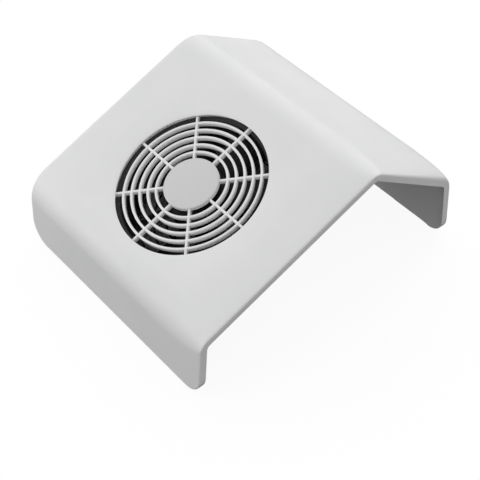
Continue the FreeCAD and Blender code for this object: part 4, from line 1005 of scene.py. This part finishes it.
def make_bag():
    """Gathered cloth bag, filled out by the fan's air and slack towards its floor."""
    points = []
    for i, ring in enumerate(bag_rings()):
        t = i / BAG_RINGS
        centre = sum(ring, Vector()) / len(ring)
        for k, place in enumerate(ring):
            out = (place - centre).normalized()
            pleat = math.cos(2 * math.pi * GATHERS * k / BAG_POINTS + 1.7 * math.sin(k * 0.11))
            depth = 0.5 if t < GATHER_SHARE else 1.5 * math.exp(-(t - GATHER_SHARE) * 9)
            uneven = 0.6 + 0.8 * noise.noise(Vector((k * 0.045, 3.1, 0.7)))
            points.append(tuple(place + out * (pleat * depth * uneven)))
    faces = []
    for i in range(BAG_RINGS):
        for k in range(BAG_POINTS):
            follow = (k + 1) % BAG_POINTS
            faces.append((
                i * BAG_POINTS + k, i * BAG_POINTS + follow,
                (i + 1) * BAG_POINTS + follow, (i + 1) * BAG_POINTS + k,
            ))
    rim = BAG_RINGS * BAG_POINTS
    centre = Vector((BAG_FLOOR_X, 0, BAG_FLOOR_Z))
    previous = rim
    for step in range(1, FLOOR_RINGS):
        start = len(points)
        for k in range(BAG_POINTS):
            points.append(tuple(Vector(points[rim + k]).lerp(centre, step / FLOOR_RINGS)))
        for k in range(BAG_POINTS):
            follow = (k + 1) % BAG_POINTS
            faces.append((previous + k, previous + follow, start + follow, start + k))
        previous = start
    points.append(tuple(centre))
    for k in range(BAG_POINTS):
        faces.append((previous + k, previous + (k + 1) % BAG_POINTS, len(points) - 1))
    mesh = new_mesh("bag_cloth", points, faces, PROFILE)
    cloth_object = loose_object("bag_work", mesh)
    simulate_bag(cloth_object)
    mesh = cloth_object.data
    bpy.data.objects.remove(cloth_object)
    piece = new_piece("bag", mesh, CLOTH, "bag", ("dust_bag",), 60)
    thick = piece.modifiers.new("cloth", "SOLIDIFY")
    thick.thickness = 0.5 * MM
    thick.offset = -1.0
    return piece


def simulate_bag(thing):
    """Lets the cloth settle into folds; each point may move only a little."""
    mesh = thing.data
    rest = [v.co.copy() for v in mesh.vertices]
    pins = thing.vertex_groups.new(name="pins")
    axis = (FAN.to_3x3() @ Vector((0, 0, 1))).normalized()
    top = FAN @ Vector((0, 0, BAG_TOP_Z))
    reach = (BAG_COLLAR + 0.2) * MM
    held = [v.index for v in mesh.vertices if (top - v.co).dot(axis) < reach]
    pins.add(held, 1.0, "REPLACE")
    cloth = thing.modifiers.new("cloth", "CLOTH")
    settings = cloth.settings
    settings.quality = 5
    settings.mass = 0.15
    settings.tension_stiffness = 12
    settings.compression_stiffness = 4
    settings.shear_stiffness = 3
    settings.bending_stiffness = 0.05
    settings.vertex_group_mass = "pins"
    settings.use_pressure = True
    settings.uniform_pressure_force = 1.2
    settings.shrink_min = -0.06
    settings.effector_weights.gravity = 0.3
    cloth.collision_settings.use_collision = False
    scene = bpy.context.scene
    scene.frame_start = 1
    scene.frame_end = SETTLING_STEPS + 2
    for step in range(1, SETTLING_STEPS + 1):
        scene.frame_set(step)
    evaluated = thing.evaluated_get(bpy.context.evaluated_depsgraph_get())
    settled = bpy.data.meshes.new_from_object(evaluated)
    thing.modifiers.clear()
    floor = shell_low.z + (BAG_FLOOR_Z - 0.6) * MM
    limit = MOST_MOVED * MM
    for vertex, start in zip(settled.vertices, rest):
        move = vertex.co - start
        if move.length > limit:
            move *= limit / move.length
        place = start + move
        place.z = max(place.z, floor)
        vertex.co = place
    scene.frame_set(1)
    thing.data = settled


def make_elastic():
    """Covered elastic round the bag's mouth, ribbed by its own gathers."""
    half = BAG_HALF + ELASTIC_OUT
    outline = even_outline(half, half, BAG_CORNER + ELASTIC_OUT, ELASTIC_POINTS)
    points = []
    for k, (x, y) in enumerate(outline):
        before = Vector(outline[k - 1])
        after = Vector(outline[(k + 1) % len(outline)])
        run = (after - before).normalized()
        out = Vector((run.y, -run.x))
        rib = 0.14 * math.cos(2 * math.pi * k * ELASTIC_RIBS / ELASTIC_POINTS)
        for offset, height in ELASTIC_SECTION:
            spot = Vector((x, y)) + out * (offset + rib)
            points.append((spot.x, spot.y, BAG_TOP_Z - 1.0 + height))
    count = len(ELASTIC_SECTION)
    faces = []
    for k in range(ELASTIC_POINTS):
        after = (k + 1) % ELASTIC_POINTS
        for index in range(count):
            follow = (index + 1) % count
            faces.append((k * count + index, after * count + index,
                          after * count + follow, k * count + follow))
    mesh = new_mesh("elastic_band", points, faces, FAN)
    return new_piece("elastic", mesh, ELASTIC, "bag", ("bag_elastic",), 50)


# ---------------------------------------------------------------- carried-over pieces

CARRIED = {
    "rubber_feet": (RUBBER, 0.35), "fan_housing": (BLACK, 0.5),
    "bearing_tube": (BRASS, 0.2), "front_bearing": (STEEL, 0.3), "rear_bearing": (STEEL, 0.3),
    "stator_core": (CORE, 0.0), "stator_windings": (COPPER, 0.8), "motor_cap": (BLACK, 0.25),
    "rotor_cup": (CORE, 0.4), "fan_shaft": (STEEL, 0.3), "thrust_washer": (BRASS, 0.1),
    "shaft_clip": (STEEL, 0.1), "terminal_block": (BLACK, 0.4), "terminal_tabs": (BRASS, 0.15),
    "fan_plug": (BLACK, 0.5), "outlet_guard": (WIRE, 0.0), "fan_screws": (STEEL, 0.25),
    "screw_washers": (STEEL, 0.15), "switch_housing": (BLACK, 0.3), "switch_rocker": (BLACK, 0.3),
    "switch_terminals": (BRASS, 0.15), "inlet_socket": (BLACK, 0.3), "inlet_pins": (BRASS, 0.2),
    "inlet_screws": (STEEL, 0.15), "inlet_nuts": (STEEL, 0.2), "tab_sleeves": (SLEEVE, 0.4),
    "cable_clips": (WHITE, 0.4), "lead_cores": (CABLE, 0.0), "fan_cable": (CABLE, 0.0),
}


def dress_carried():
    """Materials on the pieces whose shape stays, with their moulded or turned edges eased."""
    for name, (material, ease) in CARRIED.items():
        node = frame["nodes"][name]
        paint(node, material)
        weld = node.modifiers.new("weld", "WELD")
        weld.merge_threshold = 2e-6
        if ease:
            bevel = node.modifiers.new("eased_edges", "BEVEL")
            bevel.width = ease * MM
            bevel.segments = 2
            bevel.limit_method = "ANGLE"
            bevel.angle_limit = math.radians(38)


# ---------------------------------------------------------------- stage, light, camera
# The camera's place is in the profile frame. Its angles in degrees are its tilt from straight
# down, its roll and its heading.

CAMERA_PLACE = (-331.2, -612.55, 787.36)
CAMERA_ANGLES = (43.855, 2.024, -39.25)
LENS = 93.75


def make_stage():
    """A plain pale floor just under the soles."""
    reach = 6.0
    corners = [(-reach, -reach, 0), (reach, -reach, 0), (reach, reach, 0), (-reach, reach, 0)]
    mesh = bpy.data.meshes.new("floor")
    mesh.from_pydata(corners, [], [(0, 1, 2, 3)])
    floor = loose_object("floor", mesh)
    floor.location.z = -0.0002
    floor.visible_diffuse = False
    floor.visible_glossy = False
    n = Nodes("pale_floor")
    n.shader.inputs["Base Color"].default_value = (0.08, 0.08, 0.08, 1)
    n.shader.inputs["Roughness"].default_value = 0.95
    n.shader.inputs["Specular IOR Level"].default_value = 0.0
    n.shader.inputs["Emission Color"].default_value = (1, 1, 1, 1)
    n.shader.inputs["Emission Strength"].default_value = 0.92
    paint(floor, n.material)


def make_world():
    """Studio dome, dark below the horizon and brightest just above it; plain white when seen."""
    world = bpy.data.worlds.new("studio")
    bpy.context.scene.world = world
    world.use_nodes = True
    tree = world.node_tree
    nodes = tree.nodes
    link = tree.links.new
    background = nodes["Background"]
    output = nodes["World Output"]
    coordinate = nodes.new("ShaderNodeTexCoord")
    split = nodes.new("ShaderNodeSeparateXYZ")
    link(coordinate.outputs["Generated"], split.inputs["Vector"])
    ramp = nodes.new("ShaderNodeMapRange")
    ramp.inputs["From Min"].default_value = -0.06
    ramp.inputs["From Max"].default_value = 0.10
    ramp.inputs["To Min"].default_value = 0.03
    ramp.inputs["To Max"].default_value = 1.0
    link(split.outputs["Z"], ramp.inputs["Value"])
    fall = nodes.new("ShaderNodeMapRange")
    fall.inputs["To Min"].default_value = 1.0
    fall.inputs["To Max"].default_value = 0.75
    link(split.outputs["Z"], fall.inputs["Value"])
    dome = nodes.new("ShaderNodeMath")
    dome.operation = "MULTIPLY"
    link(ramp.outputs["Result"], dome.inputs[0])
    link(fall.outputs["Result"], dome.inputs[1])
    link(dome.outputs["Value"], background.inputs["Strength"])
    background.inputs["Color"].default_value = (1, 1, 1, 1)
    seen = nodes.new("ShaderNodeBackground")
    seen.inputs["Color"].default_value = (0.97, 0.97, 0.97, 1)
    path = nodes.new("ShaderNodeLightPath")
    mix = nodes.new("ShaderNodeMixShader")
    link(path.outputs["Is Camera Ray"], mix.inputs["Fac"])
    link(background.outputs["Background"], mix.inputs[1])
    link(seen.outputs["Background"], mix.inputs[2])
    link(mix.outputs["Shader"], output.inputs["Surface"])


def area_light(name, place, target, size, power):
    """A rectangular light at a place in metres that faces its target."""
    data = bpy.data.lights.new(name, "AREA")
    data.shape = "RECTANGLE"
    data.size, data.size_y = size
    data.energy = power
    light = bpy.data.objects.new(name, data)
    bpy.context.scene.collection.objects.link(light)
    light.location = place
    light.rotation_euler = (Vector(target) - Vector(place)).to_track_quat("-Z", "Y").to_euler()


def make_camera():
    """Looks down on the grille from the front left."""
    data = bpy.data.cameras.new("camera")
    data.lens = LENS
    camera = bpy.data.objects.new("camera", data)
    bpy.context.scene.collection.objects.link(camera)
    turn = Euler([math.radians(angle) for angle in CAMERA_ANGLES]).to_matrix().to_4x4()
    camera.matrix_world = Matrix.Translation(PROFILE @ Vector(CAMERA_PLACE)) @ turn
    bpy.context.scene.camera = camera


make_camera()
make_stage()
make_world()
area_light("key", (1.05, 0.45, 0.65), (0, 0, 0.05), (1.4, 1.0), 7.7)
area_light("left_fill", (-0.85, 0.75, 0.28), (0, 0, 0.05), (0.8, 0.5), 4.4)
area_light("front_fill", (-0.2, -1.2, 0.45), (0, 0, 0.05), (0.7, 0.5), 0.7)
bpy.context.scene.view_settings.view_transform = "Standard"

make_shell()
make_grille()
make_gasket()
make_impeller()
bag = make_bag()
elastic = make_elastic()
dress_carried()
